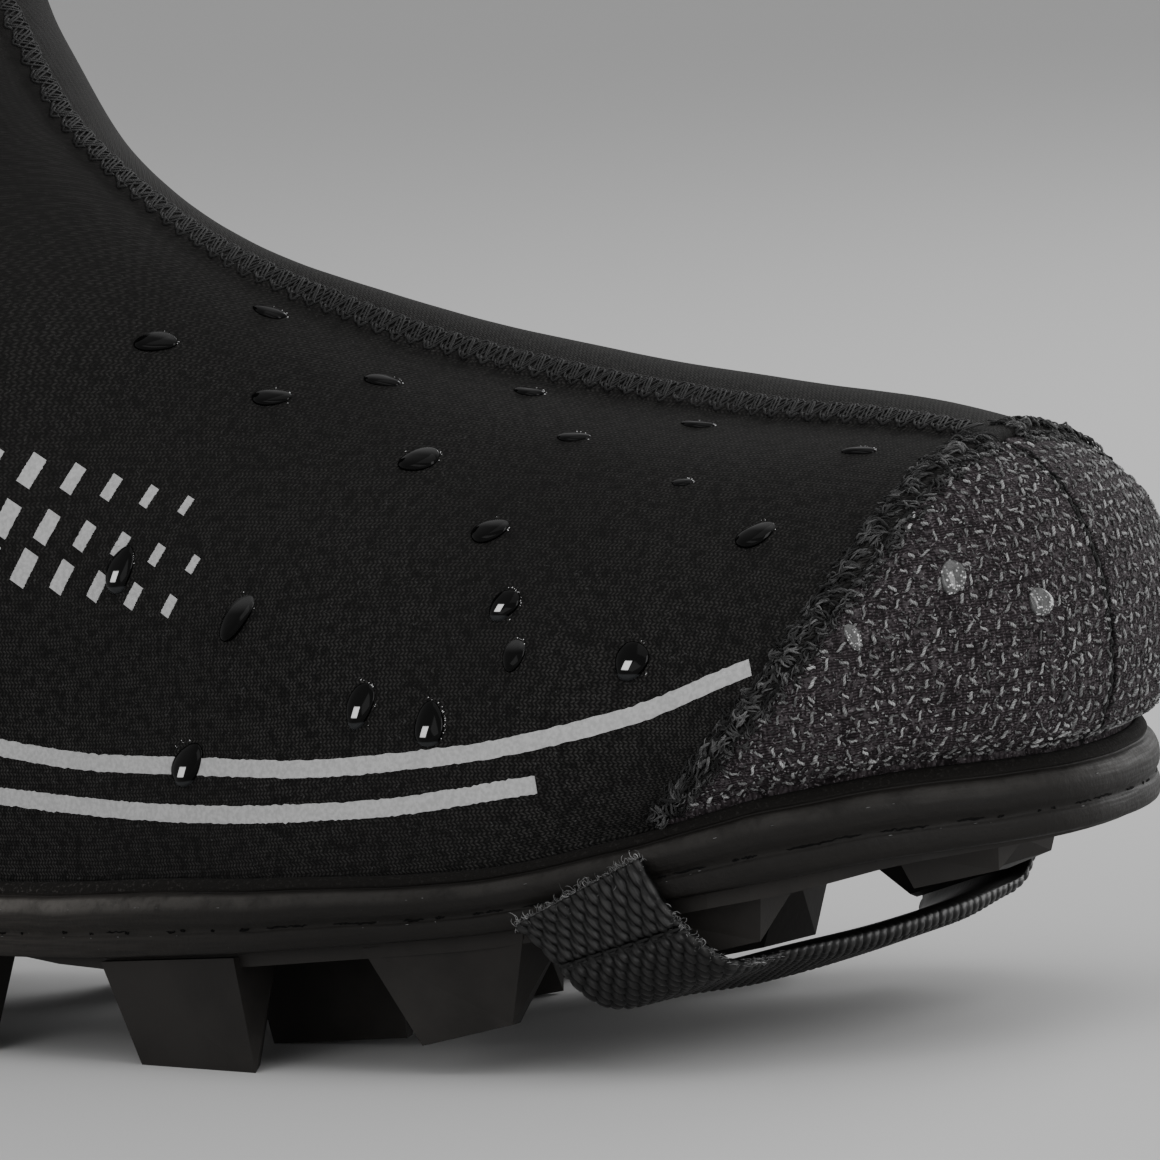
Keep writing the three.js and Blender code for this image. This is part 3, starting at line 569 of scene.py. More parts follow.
def bell(distance, width):
    """A bell curve that is 1 in the middle and falls to 1/e at one width."""
    return np.exp(-((distance / width) ** 2))


def waves(x, z, seed, count=7, shortest=12 * MM, longest=60 * MM):
    """Soft unevenness of a cloth: a few slow sine waves in fixed random directions, between -1 and 1."""
    own = np.random.default_rng(seed)
    total = np.zeros_like(x)
    for _ in range(count):
        length = own.uniform(shortest, longest)
        angle, phase = own.uniform(0, np.pi), own.uniform(0, TURN)
        total += np.sin((x * math.cos(angle) + z * math.sin(angle)) / length * TURN + phase)
    return total / count


# Materials


class Shader:
    """Small helper that wires one material's nodes. Each method adds a node and returns its output; wave is
    a sine or cosine of so many turns, and off the distance from a middle value."""

    def __init__(self, name, roughness, sheen=0.0, coat=0.0, specular=0.5, sheen_roughness=0.5):
        self.material = bpy.data.materials.new(name)
        self.material.use_nodes = True
        self.tree = self.material.node_tree
        self.surface = self.tree.nodes["Principled BSDF"]
        self.surface.inputs["Roughness"].default_value = roughness
        self.surface.inputs["Sheen Weight"].default_value = sheen
        self.surface.inputs["Sheen Roughness"].default_value = sheen_roughness
        self.surface.inputs["Coat Weight"].default_value = coat
        self.surface.inputs["Specular IOR Level"].default_value = specular

    def node(self, kind, **settings):
        made = self.tree.nodes.new(kind)
        for key, value in settings.items():
            setattr(made, key, value)
        return made

    def wire(self, source, target):
        if isinstance(source, (int, float, tuple)):
            target.default_value = source
        else:
            self.tree.links.new(source, target)

    def place(self):
        return self.node("ShaderNodeTexCoord").outputs["Object"]

    def cloth(self):
        return self.node("ShaderNodeUVMap", uv_map="cloth").outputs[0]

    def split(self, vector):
        made = self.node("ShaderNodeSeparateXYZ")
        self.wire(vector, made.inputs[0])
        return made.outputs[0], made.outputs[1], made.outputs[2]

    def join(self, x, y, z=0.0):
        made = self.node("ShaderNodeCombineXYZ")
        for i, value in enumerate((x, y, z)):
            self.wire(value, made.inputs[i])
        return made.outputs[0]

    def math(self, operation, a, b=0.0, c=0.0):
        made = self.node("ShaderNodeMath", operation=operation)
        for i, value in enumerate((a, b, c)):
            self.wire(value, made.inputs[i])
        return made.outputs[0]

    def times(self, a, b):
        return self.math("MULTIPLY", a, b)

    def plus(self, a, b):
        return self.math("ADD", a, b)

    def off(self, value, middle):
        return self.math("ABSOLUTE", self.math("SUBTRACT", value, middle))

    def wave(self, turns, half=0.5, middle=0.5, shape="SINE"):
        return self.math("MULTIPLY_ADD", self.math(shape, self.times(turns, TURN)), half, middle)

    def ramp(self, value, low, high, to_low=0.0, to_high=1.0):
        made = self.node("ShaderNodeMapRange", clamp=True, interpolation_type="SMOOTHSTEP")
        for i, item in enumerate((value, low, high, to_low, to_high)):
            self.wire(item, made.inputs[i])
        return made.outputs[0]

    def noise(self, vector, scale, detail=2.0, roughness=0.5):
        made = self.node("ShaderNodeTexNoise")
        self.wire(vector, made.inputs["Vector"])
        made.inputs["Scale"].default_value = scale
        made.inputs["Detail"].default_value = detail
        made.inputs["Roughness"].default_value = roughness
        return made.outputs[0]

    def cells(self, vector, scale, feature="F1"):
        made = self.node("ShaderNodeTexVoronoi", feature=feature)
        self.wire(vector, made.inputs["Vector"])
        made.inputs["Scale"].default_value = scale
        return made.outputs["Distance"]

    def blend(self, share, a, b):
        made = self.node("ShaderNodeMix", data_type="RGBA")
        self.wire(share, made.inputs[0])
        self.wire(a, made.inputs[6])
        self.wire(b, made.inputs[7])
        return made.outputs[2]

    def bump(self, height, distance, strength=1.0, under=None):
        made = self.node("ShaderNodeBump")
        made.inputs["Strength"].default_value = strength
        made.inputs["Distance"].default_value = distance
        self.wire(height, made.inputs["Height"])
        if under is not None:
            self.wire(under, made.inputs["Normal"])
        return made.outputs[0]

    def finish(self, color, normal=None, roughness=None):
        self.wire(color, self.surface.inputs["Base Color"])
        if normal is not None:
            self.wire(normal, self.surface.inputs["Normal"])
        if roughness is not None:
            self.wire(roughness, self.surface.inputs["Roughness"])
        return self.material


def grey(value, warm=0.0):
    """A neutral colour with a little more red and less blue for warm, as linear values."""
    return (value * (1 + warm), value, value * (1 - warm), 1.0)


# Colours of the cap's cloth, of the rand and of the sole, as linear values
CAP_DARK = (0.0066, 0.0052, 0.0058, 1)
CAP_LIGHT = (0.060, 0.0490, 0.0540, 1)
CAP_BROAD = (0.018, 0.0145, 0.0160, 1)
CAP_TUFT = (0.085, 0.076, 0.080, 1)
CAP_SPECK = (0.19, 0.172, 0.180, 1)
RAND_DARK = (0.0175, 0.0155, 0.0137, 1)
RAND_LIGHT = (0.0350, 0.0315, 0.0283, 1)
# Painted highlight along the rand's crest
RAND_CREST_HIGHLIGHT = (0.125, 0.117, 0.108, 1)
RAND_DUST = (0.046, 0.042, 0.038, 1)
RAND_SPECK = (0.12, 0.115, 0.105, 1)
RAND_LIP = (0.0055, 0.0050, 0.0046, 1)
RAND_GRIT = (0.075, 0.070, 0.066, 1)
# Painted shade that darkens the rand towards the toe
RAND_TOE_SHADE = (0.0048, 0.0042, 0.0037, 1)
SOLE_DARK = (0.0118, 0.0106, 0.0096, 1)
SOLE_LIGHT = (0.0225, 0.0204, 0.0187, 1)
SOLE_CHIP = (0.07, 0.066, 0.06, 1)
# Levels of the rand's crest and of its stitched step, as shares of its height
RAND_CREST_LEVEL = 0.68
RAND_STEP_LEVEL = 0.34


def neoprene_material():
    """Knitted face on foam: columns of small stitches that lean to and fro from row to row, clearest low on
    the foot, with lint and a soft cloudy unevenness."""
    s = Shader("neoprene_knit", 0.8, specular=0.14)
    along, up, _ = s.split(s.cloth())
    _, _, level = s.split(s.place())
    sway = s.noise(s.place(), 120, 2)
    row = s.plus(s.times(up, 1 / KNIT_ROW), s.times(sway, 1.2))
    inside = s.math("FRACT", row)
    zigzag = s.math("PINGPONG", row, 1.0)
    column = s.plus(s.times(along, 1 / KNIT_COLUMN), s.times(up, 330.0))
    column = s.plus(column, s.times(zigzag, 0.62))
    column = s.plus(column, s.times(s.noise(s.place(), 420, 2), 0.9))
    wale = s.wave(column, shape="COSINE")
    stitch = s.math("MULTIPLY_ADD", s.math("SINE", s.times(inside, math.pi)), 0.85, 0.15)
    height = s.times(wale, stitch)
    lint = s.noise(s.place(), 2300, 2)
    cloud = s.noise(s.place(), 24, 3)
    patchy = s.noise(s.place(), 800, 2)
    clear = s.times(s.ramp(level, 0.045, 0.085, 1.0, 0.62), s.ramp(level, 0.095, 0.125, 1.0, 0.4))
    share = s.times(height, s.ramp(patchy, 0.3, 0.62, 0.2, 1.0))
    share = s.math("MULTIPLY_ADD", s.math("SUBTRACT", share, 0.27), clear, 0.27)
    color = s.blend(share, grey(0.0012, 0.04), grey(0.036, 0.04))
    color = s.blend(s.ramp(cloud, 0.4, 0.7, 0, 0.3), color, grey(0.0065, 0.04))
    color = s.blend(s.times(s.ramp(lint, 0.64, 0.76, 0.0, 0.55), clear), color, grey(0.075))
    normal = s.bump(height, 0.08 * MM, 0.8)
    normal = s.bump(lint, 0.05 * MM, 0.5, normal)
    return s.finish(color, normal)


def cap_material():
    """Hard-wearing base cloth of the toe cap: fine level ribs broken up by small loops, pale specks, and
    painted shade in the groove along the middle seam."""
    s = Shader("cap_cloth", 0.85, specular=0.14)
    along, up, _ = s.split(s.cloth())
    _, across, _ = s.split(s.place())
    wobble = s.noise(s.place(), 420, 2)
    row = s.plus(s.times(up, 1 / CAP_RIB), s.times(wobble, 2.2))
    rib = s.wave(row)
    loop = s.plus(s.times(along, 1 / CAP_LOOP), s.times(wobble, 1.8))
    loop = s.wave(loop, 0.35, 0.65)
    speck = s.noise(s.place(), 2600, 2)
    tuft = s.noise(s.place(), 1150, 2)
    broad = s.noise(s.place(), 300, 3)
    height = s.times(s.times(rib, loop), s.ramp(broad, 0.35, 0.6, 0.3, 1.0))
    color = s.blend(height, CAP_DARK, CAP_LIGHT)
    color = s.blend(s.ramp(broad, 0.5, 0.7, 0, 0.4), color, CAP_BROAD)
    color = s.blend(s.ramp(tuft, 0.52, 0.66, 0, 0.55), color, CAP_TUFT)
    color = s.blend(s.ramp(speck, 0.58, 0.70, 0, 0.7), color, CAP_SPECK)
    # Painted shade: the cloth is near black within about a millimetre of the middle seam's groove
    middle = s.off(across, float(OFFSET[1]))
    color = s.blend(s.ramp(middle, 0.45 * MM, 0.95 * MM, 0.92, 0.0), color, grey(0.0018))
    normal = s.bump(height, 0.1 * MM, 0.9)
    normal = s.bump(tuft, 0.15 * MM, 0.7, normal)
    return s.finish(color, normal)


def thread_material(name, dark, light, roughness=0.7, warm=0.0, patch=420.0, specular=0.25):
    """Spun thread: fine slanting fibres along the tube, and a brightness that changes from thread to
    thread by the whole number in its map."""
    s = Shader(name, roughness, sheen=0.05, specular=specular)
    along, around, _ = s.split(s.cloth())
    fibre = s.plus(s.times(along, 2200.0), s.times(around, 3.0))
    fibre = s.wave(fibre, 0.3, 0.7)
    grade = s.times(s.math("FLOOR", around), 1 / TOP_GRADE)
    speck = s.ramp(s.noise(s.place(), patch, 2), 0.3, 0.6, 0.35, 1.0)
    share = s.times(s.times(fibre, speck), grade)
    color = s.blend(share, grey(dark, warm), grey(light, warm))
    return s.finish(color, s.bump(fibre, 0.05 * MM, 0.6))


def rand_material():
    """Moulded rubber: soft gloss, fine pits, dust on the lip and along the edges, scuffs and streaks, a
    painted highlight along the crest, and painted shade that darkens it towards the toe.
    """
    s = Shader("rand_rubber", 0.5, specular=0.2)
    along, up, _ = s.split(s.cloth())
    place = s.place()
    grain = s.noise(place, 1900, 3, 0.6)
    pits = s.noise(place, 420, 4, 0.6)
    mottle = s.noise(place, 210, 5, 0.65)
    streak = s.noise(s.join(s.times(along, 18.0), s.times(up, 5.0), 0.3), 6.0, 5, 0.65)
    specks = s.noise(place, 1250, 2, 0.7)
    lip = s.ramp(up, 0.84, 0.88)
    # Painted highlight: a band along the crest, broken up by mottling
    crest_highlight = s.times(s.ramp(up, 0.56, 0.7), s.ramp(up, 0.76, 0.82, 1.0, 0.0))
    edge = s.ramp(s.off(up, RAND_CREST_LEVEL), 0.0, 0.1, 1.0, 0.0)
    step = s.ramp(s.off(up, RAND_STEP_LEVEL), 0.0, 0.05, 1.0, 0.0)
    color = s.blend(s.ramp(streak, 0.38, 0.62), RAND_DARK, RAND_LIGHT)
    color = s.blend(s.times(crest_highlight, s.ramp(mottle, 0.25, 0.62)), color, RAND_CREST_HIGHLIGHT)
    dust = s.times(s.math("MAXIMUM", edge, step), s.ramp(pits, 0.48, 0.68))
    color = s.blend(s.times(dust, 0.5), color, RAND_DUST)
    color = s.blend(s.ramp(specks, 0.71, 0.79, 0, 0.8), color, RAND_SPECK)
    color = s.blend(s.times(lip, 0.8), color, RAND_LIP)
    gritty = s.times(lip, s.ramp(grain, 0.54, 0.7))
    color = s.blend(s.times(gritty, 0.85), color, RAND_GRIT)
    # Painted shade: the rand gets darker towards the toe
    forward, _, _ = s.split(place)
    wear_and_toe_shade = s.ramp(forward, -0.05, 0.06, 0.0, 0.84)
    color = s.blend(wear_and_toe_shade, color, RAND_TOE_SHADE)
    normal = s.bump(pits, 0.14 * MM, 0.5)
    normal = s.bump(mottle, 0.5 * MM, 0.4, normal)
    normal = s.bump(s.times(grain, s.math("MULTIPLY_ADD", lip, 0.85, 0.15)), 0.25 * MM, 0.8, normal)
    rough = s.plus(s.ramp(streak, 0.3, 0.7, 0.5, 0.68), s.times(lip, 0.4))
    return s.finish(color, normal, rough)


def sole_material():
    """Matt moulded rubber of plate and lugs, with a dusty film and small chips."""
    s = Shader("sole_rubber", 0.6, specular=0.25)
    place = s.place()
    film = s.noise(place, 60, 4, 0.6)
    pits = s.noise(place, 900, 3, 0.6)
    chips = s.noise(place, 700, 2, 0.7)
    color = s.blend(s.ramp(film, 0.35, 0.68), SOLE_DARK, SOLE_LIGHT)
    color = s.blend(s.ramp(chips, 0.74, 0.82, 0, 0.5), color, SOLE_CHIP)
    normal = s.bump(pits, 0.08 * MM, 0.5)
    return s.finish(color, normal, s.ramp(film, 0.3, 0.7, 0.52, 0.7))


def webbing_material():
    """Black nylon yarns: fine fibres along the strap and dust, with painted shade in the gaps between the
    knuckles and on the inner face, and a painted highlight broken up by dust on the knuckle tops.
    """
    s = Shader("strap_webbing", 0.42, specular=0.3)
    along, across, _ = s.split(s.cloth())
    fibre = s.noise(s.join(s.times(along, 500.0), s.times(across, 4500.0)), 1.0, 2)
    dust_and_highlight = s.noise(s.place(), 160, 3)
    color = s.blend(s.ramp(fibre, 0.3, 0.7), grey(0.0012, 0.05), grey(0.0052, 0.05))
    color = s.blend(s.ramp(dust_and_highlight, 0.5, 0.75, 0, 0.5), color, grey(0.018, 0.04))
    knuckle, _, _ = s.split(s.node("ShaderNodeUVMap", uv_map="height").outputs[0])
    # Painted shade: near black where the knuckle height is low, in the gaps, the sewing groove and on the
    # inner face
    color = s.blend(s.ramp(knuckle, 0.25, 0.95), grey(0.0012), color)
    # Painted highlight on the knuckle tops, broken up by the dust noise
    color = s.blend(s.times(s.ramp(knuckle, 0.8, 1.0, 0.0, 0.6), dust_and_highlight), color, grey(0.05, 0.03))
    return s.finish(color, s.bump(fibre, 0.10 * MM, 0.6))


def print_material():
    """Light grey film printed on the knit: the stitch rows show through and it is slightly worn."""
    s = Shader("reflective_film", 0.55, specular=0.3)
    grain = s.noise(s.place(), 1700, 2)
    wear_and_toe_shade = s.noise(s.place(), 110, 3)
    color = s.blend(s.ramp(grain, 0.3, 0.7), grey(0.39), grey(0.50))
    color = s.blend(s.ramp(wear_and_toe_shade, 0.6, 0.8, 0, 0.3), color, grey(0.30))
    return s.finish(color, s.bump(grain, 0.05 * MM, 0.6))


def felt_material():
    """Footbed cloth: short matted fibres."""
    s = Shader("footbed_felt", 0.95, sheen=0.3)
    fibre = s.noise(s.place(), 1800, 4, 0.7)
    cloud = s.noise(s.place(), 40, 3)
    color = s.blend(fibre, grey(0.014), grey(0.05))
    color = s.blend(s.ramp(cloud, 0.4, 0.7, 0, 0.4), color, grey(0.02))
    return s.finish(color, s.bump(fibre, 0.3 * MM, 0.8))


def water_material():
    """Wet black knit under a bead: dark and glossy. On its map a small bright window is a painted highlight
    of the light that the bead gathers in its lower half, with a pale painted highlight along its lower edge;
    a bead without it is mapped off to the side and gets a painted crescent highlight on its upper part."""
    s = Shader("water_bead", 0.09, specular=0.12)
    a, b, _ = s.split(s.cloth())
    level = s.off(s.math("MULTIPLY_ADD", b, -0.35, a), 0.02)
    high = s.math("ABSOLUTE", s.plus(b, 0.2))
    window = s.times(s.ramp(level, 0.17, 0.22, 1.0, 0.0), s.ramp(high, 0.2, 0.26, 1.0, 0.0))
    # Painted highlight: a pale line along the lower edge of beads with a window
    foot = s.times(s.ramp(b, -0.62, -0.72), s.ramp(s.math("ABSOLUTE", a), 0.9, 1.2, 1.0, 0.0))
    # Painted highlight: a crescent on the upper part of beads without a window
    crescent_highlight = s.times(s.ramp(a, 5.0, 6.0), s.ramp(b, 0.15, 0.8))
    color = s.blend(s.times(foot, 0.9), grey(0.0014), grey(0.03, -0.05))
    color = s.blend(s.times(crescent_highlight, 0.8), color, grey(0.045))
    return s.finish(s.blend(window, color, grey(0.95)))


def clear_material():
    """Clear water on the toe cap: the cloth under it shows as bright broken light."""
    s = Shader("water_clear", 0.04, specular=0.5)
    a, b, _ = s.split(s.cloth())
    glint = s.cells(s.join(s.times(a, 2.2), s.times(b, 2.8)), 1.9)
    fine = s.noise(s.place(), 1500, 3, 0.7)
    color = s.blend(s.ramp(glint, 0.1, 0.42, 1.0, 0.0), grey(0.10), grey(0.95))
    color = s.blend(s.ramp(fine, 0.45, 0.6, 0.0, 0.6), color, grey(0.04))
    return s.finish(color)


def sparkle_material():
    """Tiny wet points that catch the light."""
    s = Shader("wet_sparkle", 0.25)
    return s.finish(s.blend(s.noise(s.place(), 2000, 1), grey(0.45), grey(0.9)))


def hole_shade_material():
    """Painted shade for the inside of a stitch hole: near black."""
    s = Shader("painted_hole_shade", 0.9, specular=0.1)
    shade = s.noise(s.place(), 900, 2)
    return s.finish(s.blend(shade, grey(0.002), grey(0.006)))


NEOPRENE = neoprene_material()
CAP_CLOTH = cap_material()
BLACK_THREAD = thread_material("seam_thread", 0.003, 0.020)
GREY_THREAD = thread_material("fringe_thread", 0.004, 0.21, patch=700.0)
FLECK_THREAD = thread_material("fleck_thread", 0.03, 0.50, 0.8, patch=900.0, specular=0.15)
PALE_FIBRE = thread_material("pale_fibre", 0.08, 0.6, 0.8)
RAND_RUBBER = rand_material()
SOLE_RUBBER = sole_material()
WEBBING = webbing_material()
FILM = print_material()
FELT = felt_material()
WATER = water_material()
CLEAR_WATER = clear_material()
HOLE_SHADE = hole_shade_material()
SPARKLE = sparkle_material()

# Upper

ROWS_CAP = np.linspace(0, CAP_ROW - 0.02, 50)
ROWS_BORDER = np.linspace(CAP_ROW + 0.02, SEAM_ROW, 12)
ROWS_BODY = np.linspace(SEAM_ROW + 0.06, COLLAR_ROW, 226)
# Even steps of a section from the ridge to the base, closer along the seam on the ridge
UPPER_STEPS = np.concatenate([np.linspace(0, 0.06, 13)[:-1], np.linspace(0.06, 1, 89)])
INNER_EVERY = 5

# Creases. Columns: side (0 for both), x and z of the middle, slope in degrees,
# half length, half width and depth in millimetres
CREASES = [
    (0, -46, 104, -52, 34, 6.5, 1.0),
    (0, -62, 92, -40, 36, 6.0, 1.1),
    (0, -30, 92, -66, 26, 7.0, 0.7),
    (0, -122, 98, 12, 20, 6.0, 1.0),
    (0, -119, 116, 4, 22, 5.0, 0.8),
    (-1, -98, 62, 28, 26, 7.0, 0.8),
    (1, -92, 58, 22, 28, 7.0, 0.9),
    (1, 20, 62, -14, 36, 8.0, 0.7),
    (1, 62, 70, -18, 26, 6.0, 0.6),
    (-1, 20, 52, 6, 42, 9.0, 0.45),
    (-1, 88, 66, -38, 22, 6.0, 0.4),
    (0, -70, 168, 3, 40, 7.0, 0.5),
]


def crease_depth(points, side):
    """Sum of the soft troughs: each falls off as a bell across its line and flatly along it, with a low
    ridge on both sides."""
    x, z = points[..., 0] / MM, points[..., 2] / MM
    depth = np.zeros_like(x)
    for own, cx, cz, slope, length, width, deep in CREASES:
        c, s = math.cos(math.radians(slope)), math.sin(math.radians(slope))
        along = (x - cx) * c + (z - cz) * s
        across = (z - cz) * c - (x - cx) * s + 2.5 * np.sin(along / length * 1.7)
        shape = bell(across, width) - 0.45 * bell(np.abs(across) - 1.7 * width, width)
        here = deep * shape * np.exp(-((along / length) ** 4))
        depth += here if own == 0 else np.where(side == own, here, 0)
    return depth * MM


PAD_HEIGHT = 0.7 * MM
PAD_EDGE = (2.9 * MM, 2.1 * MM)
BORDER_HEIGHT = 0.8 * MM
SECTION_SPACING = 13.5 * MM
PUCKER_PITCH = 6.2 * MM
PUCKER_HEIGHT = 0.1 * MM
PUCKER_REACH = 4 * MM
RIPPLE_HEIGHT = 0.12 * MM
UNEVENNESS = 0.16 * MM


def pad_share(y):
    """1 on the raised pad under a seam, and 0 beside it."""
    return smoothstep(np.abs(y), *PAD_EDGE)


def upper_relief(u, side, share):
    """How far the outside of the upper stands out: raised pads under the two seams, small puckers beside
    them, creases and a soft unevenness."""
    points = upper_point(u, side, share)
    y = np.abs(points[..., 1] - OFFSET[1])
    body = smoothstep(u, SEAM_ROW - 0.05, SEAM_ROW + 0.15)
    near_ridge = np.where(share < 0.5, 1.0, 0.0)
    pad = pad_share(y) * near_ridge * body
    pucker = np.cos(u * SECTION_SPACING / PUCKER_PITCH * TURN) * np.exp(-(y - SEAM_WIDTH / 2) / PUCKER_REACH)
    relief = PAD_HEIGHT * pad + PUCKER_HEIGHT * np.clip(pucker, -1, 1) * near_ridge * body * (1 - pad)
    risen = smoothstep(u, CAP_ROW - 0.02, CAP_ROW + 0.12)
    fallen = smoothstep(u, SEAM_ROW - 0.6, SEAM_ROW - 0.1)
    relief += BORDER_HEIGHT * risen * (1 - fallen)
    ripple = np.cos(share * 40) * np.exp(-np.abs(u - SEAM_ROW) / 0.35) * (u > SEAM_ROW)
    relief += RIPPLE_HEIGHT * ripple
    calm = smoothstep(share, 1.0, 0.93) * smoothstep(u, SEAM_ROW, SEAM_ROW + 0.8)
    soft = UNEVENNESS * waves(points[..., 0], points[..., 2] * 1.3, 5)
    relief += calm * (soft - crease_depth(points, side))
    under_cap = 1 - smoothstep(u, CAP_ROW - 0.025, CAP_ROW + 0.02)
    held = smoothstep(share, 1.0, 0.985)
    return np.where(under_cap > 0.5, -CAP_RECESS, relief * held)


def section_grid(u_rows, steps, skin_of):
    """Points of the sections from the outer base over the ridge to the inner base."""
    u = u_rows[:, None]
    parts = []
    for side in (LATERAL, MEDIAL):
        share = spread(u, steps[None, :])
        points = upper_point(u, side, share, skin_of(u, side, share))
        parts.append(points[:, ::-1] if side == LATERAL else points[:, 1:])
    return np.concatenate(parts, axis=1)


def cloth_map(points):
    """Map of the cloth: distance along the shoe, and length of cloth up from the rand on each side."""
    steps = np.linalg.norm(np.diff(points, axis=1), axis=-1)
    middle = points.shape[1] // 2
    up = np.zeros(points.shape[:2])
    up[:, 1:middle + 1] = np.cumsum(steps[:, :middle], axis=1)
    up[:, middle + 1:-1] = np.cumsum(steps[:, :middle:-1], axis=1)[:, ::-1]
    along = points[..., 0] + 0.8 * np.abs(points[..., 1])
    return np.stack([along, up], -1)


def with_rim(points, u_rows, skin):
    """Adds the lower edge on the plate to both ends of each section."""
    def rim(end):
        point = points[:, end].copy()
        x = slide(SHOE_LENGTH * fan["base"](u_rows), UPPER_INSET + skin)
        point[:, 2] = np.where(u_rows <= HEEL_ROW, plate_top(x) + GAP, point[:, 2])
        return point[:, None]
    return np.concatenate([rim(0), points, rim(-1)], axis=1)


def closed_shell(u_rows, outer, inner):
    """Outer and inner skin, each with one rim column at its ends, joined along the last section and along
    the lower edges of the foot. The inner skin has every fifth column of the outer one."""
    rows_count, wide = outer.shape[:2]
    narrow = inner.shape[1]
    start = rows_count * wide
    faces = grid_faces(rows_count, wide) + grid_faces(rows_count, narrow, start, flip=True)
    out = np.arange(start).reshape(rows_count, wide)
    inn = start + np.arange(rows_count * narrow).reshape(rows_count, narrow)
    foot = int(np.sum(u_rows <= HEEL_ROW))
    near = np.stack([out[:foot - 1, 0], out[1:foot, 0], inn[1:foot, 0], inn[:foot - 1, 0]], -1)
    far = np.stack([out[1:foot, -1], out[:foot - 1, -1], inn[:foot - 1, -1], inn[1:foot, -1]], -1)
    faces += near.tolist() + far.tolist()
    for j in range(narrow - 3):
        corners = [int(k) for k in out[-1, 1 + j * INNER_EVERY:2 + (j + 1) * INNER_EVERY]]
        faces.append(corners + [int(inn[-1, j + 2]), int(inn[-1, j + 1])])
    return np.concatenate([outer.reshape(-1, 3), inner.reshape(-1, 3)]), faces


def build_shell(name, node, material, u_rows, steps, skin_of, wall, map_of):
    """A closed piece of cloth over the shoe: an outer skin, and a plain inner one a wall further in, in
    place of a CAD node."""
    inner_skin = lambda u, side, share: np.full_like(share, wall)
    outer = with_rim(section_grid(u_rows, steps, skin_of), u_rows, 0.0)
    inner = with_rim(section_grid(u_rows, steps[::INNER_EVERY], inner_skin), u_rows, wall)
    points, faces = closed_shell(u_rows, outer, inner)
    uv = np.concatenate([map_of(skin).reshape(-1, 2) for skin in (outer, inner)])
    piece = make_piece(name, points, faces, material, uv=uv, weld=SHELL_WELD)
    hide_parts(node)


def build_upper():
    """The knit, with its relief on the outside."""
    u_rows = np.concatenate([ROWS_CAP, ROWS_BORDER, ROWS_BODY])
    u_rows[np.argmin(np.abs(u_rows - HEEL_ROW))] = HEEL_ROW
    relief = lambda u, side, share: -upper_relief(u, side, share)
    build_shell("upper_knit", "upper", NEOPRENE, u_rows, UPPER_STEPS, relief, WALL, cloth_map)


build_upper()

# Toe cap

CAP_END = CAP_ROW - 0.03
CAP_ROWS = 120
CAP_CROWDING = 1.2
CAP_STEPS = np.concatenate([np.linspace(0, 0.03, 11)[:-1], np.linspace(0.03, 1, 81)])
GROOVE_DEPTH = 1.0 * MM
GROOVE_WIDTH = 0.5 * MM
CHART_CENTRE = np.array([255 * MM, 0.0, 30 * MM]) + OFFSET
CHART_TURNS = np.radians(np.linspace(0.0, 104.0, 105))
CHART_STEPS = 90
CHART_TOP = math.radians(66)
CHART_RADIUS = 42 * MM
CHART_LAST_ROW = 11
# As for SIDE_FOLLOW
CHART_FOLLOW = (5, (0.1, 0.02), 1e-4, (0, CHART_LAST_ROW), (0, 1))
CAP_SOFTNESS = 0.18 * MM
GROOVE_SHOULDER = 0.12 * MM


def chart_angles(points):
    """Turn about the upright line through the chart's centre, and rise above its level."""
    x, y, z = np.moveaxis(points - CHART_CENTRE, -1, 0)
    return np.arctan2(np.abs(y), x), np.arctan2(z, np.hypot(x, y))


def cap_chart(side):
    """The toe as level rows: at each turn the surface is followed from the rand up, so that the length
    travelled tells the height of a row. The surface point at a turn and a rise is the nearest node of a
    coarse grid, mended by a few steps along the two tangents."""
    grid_u, grid_t = np.meshgrid(np.linspace(0.02, CHART_LAST_ROW, 140), np.linspace(0, 1, 90), indexing="ij")
    grid_turn, grid_rise = chart_angles(upper_point(grid_u, side, spread(grid_u, grid_t)))
    base_turn, base_rise = chart_angles(upper_point(np.linspace(0, 10, 400), side, 1.0))
    low = np.interp(CHART_TURNS, base_turn, base_rise)
    rise = low[:, None] + (CHART_TOP - low)[:, None] * np.linspace(0, 1, CHART_STEPS)
    turn = CHART_TURNS[:, None] * np.ones_like(rise)
    u, t = np.empty_like(rise), np.empty_like(rise)
    for i in range(len(CHART_TURNS)):
        miss = (grid_turn.ravel() - CHART_TURNS[i]) ** 2 + (grid_rise.ravel() - rise[i][:, None]) ** 2
        nearest = np.argmin(miss, axis=1)
        u[i], t[i] = grid_u.ravel()[nearest], grid_t.ravel()[nearest]
    read = lambda u, t: np.stack(chart_angles(upper_point(u, side, spread(u, t))))
    u, t = follow(read, np.stack([turn, rise]), u, t, *CHART_FOLLOW)
    points = upper_point(u, side, spread(u, t))
    length = np.linalg.norm(np.diff(points, axis=1), axis=-1)
    height = np.concatenate([np.zeros((len(CHART_TURNS), 1)), np.cumsum(length, axis=1)], axis=1)
    return {"low": low, "u": u, "t": t, "height": height}


def chart_read(table, turn, step):
    """A value of the chart between its nodes."""
    i = np.clip(turn / (CHART_TURNS[1] - CHART_TURNS[0]), 0, len(CHART_TURNS) - 1.001)
    j = np.clip(step * (CHART_STEPS - 1), 0, CHART_STEPS - 1.001)
    i0, j0 = i.astype(int), j.astype(int)
    fi, fj = i - i0, j - j0
    return ((table[i0, j0] * (1 - fi) + table[i0 + 1, j0] * fi) * (1 - fj)
            + (table[i0, j0 + 1] * (1 - fi) + table[i0 + 1, j0 + 1] * fi) * fj)


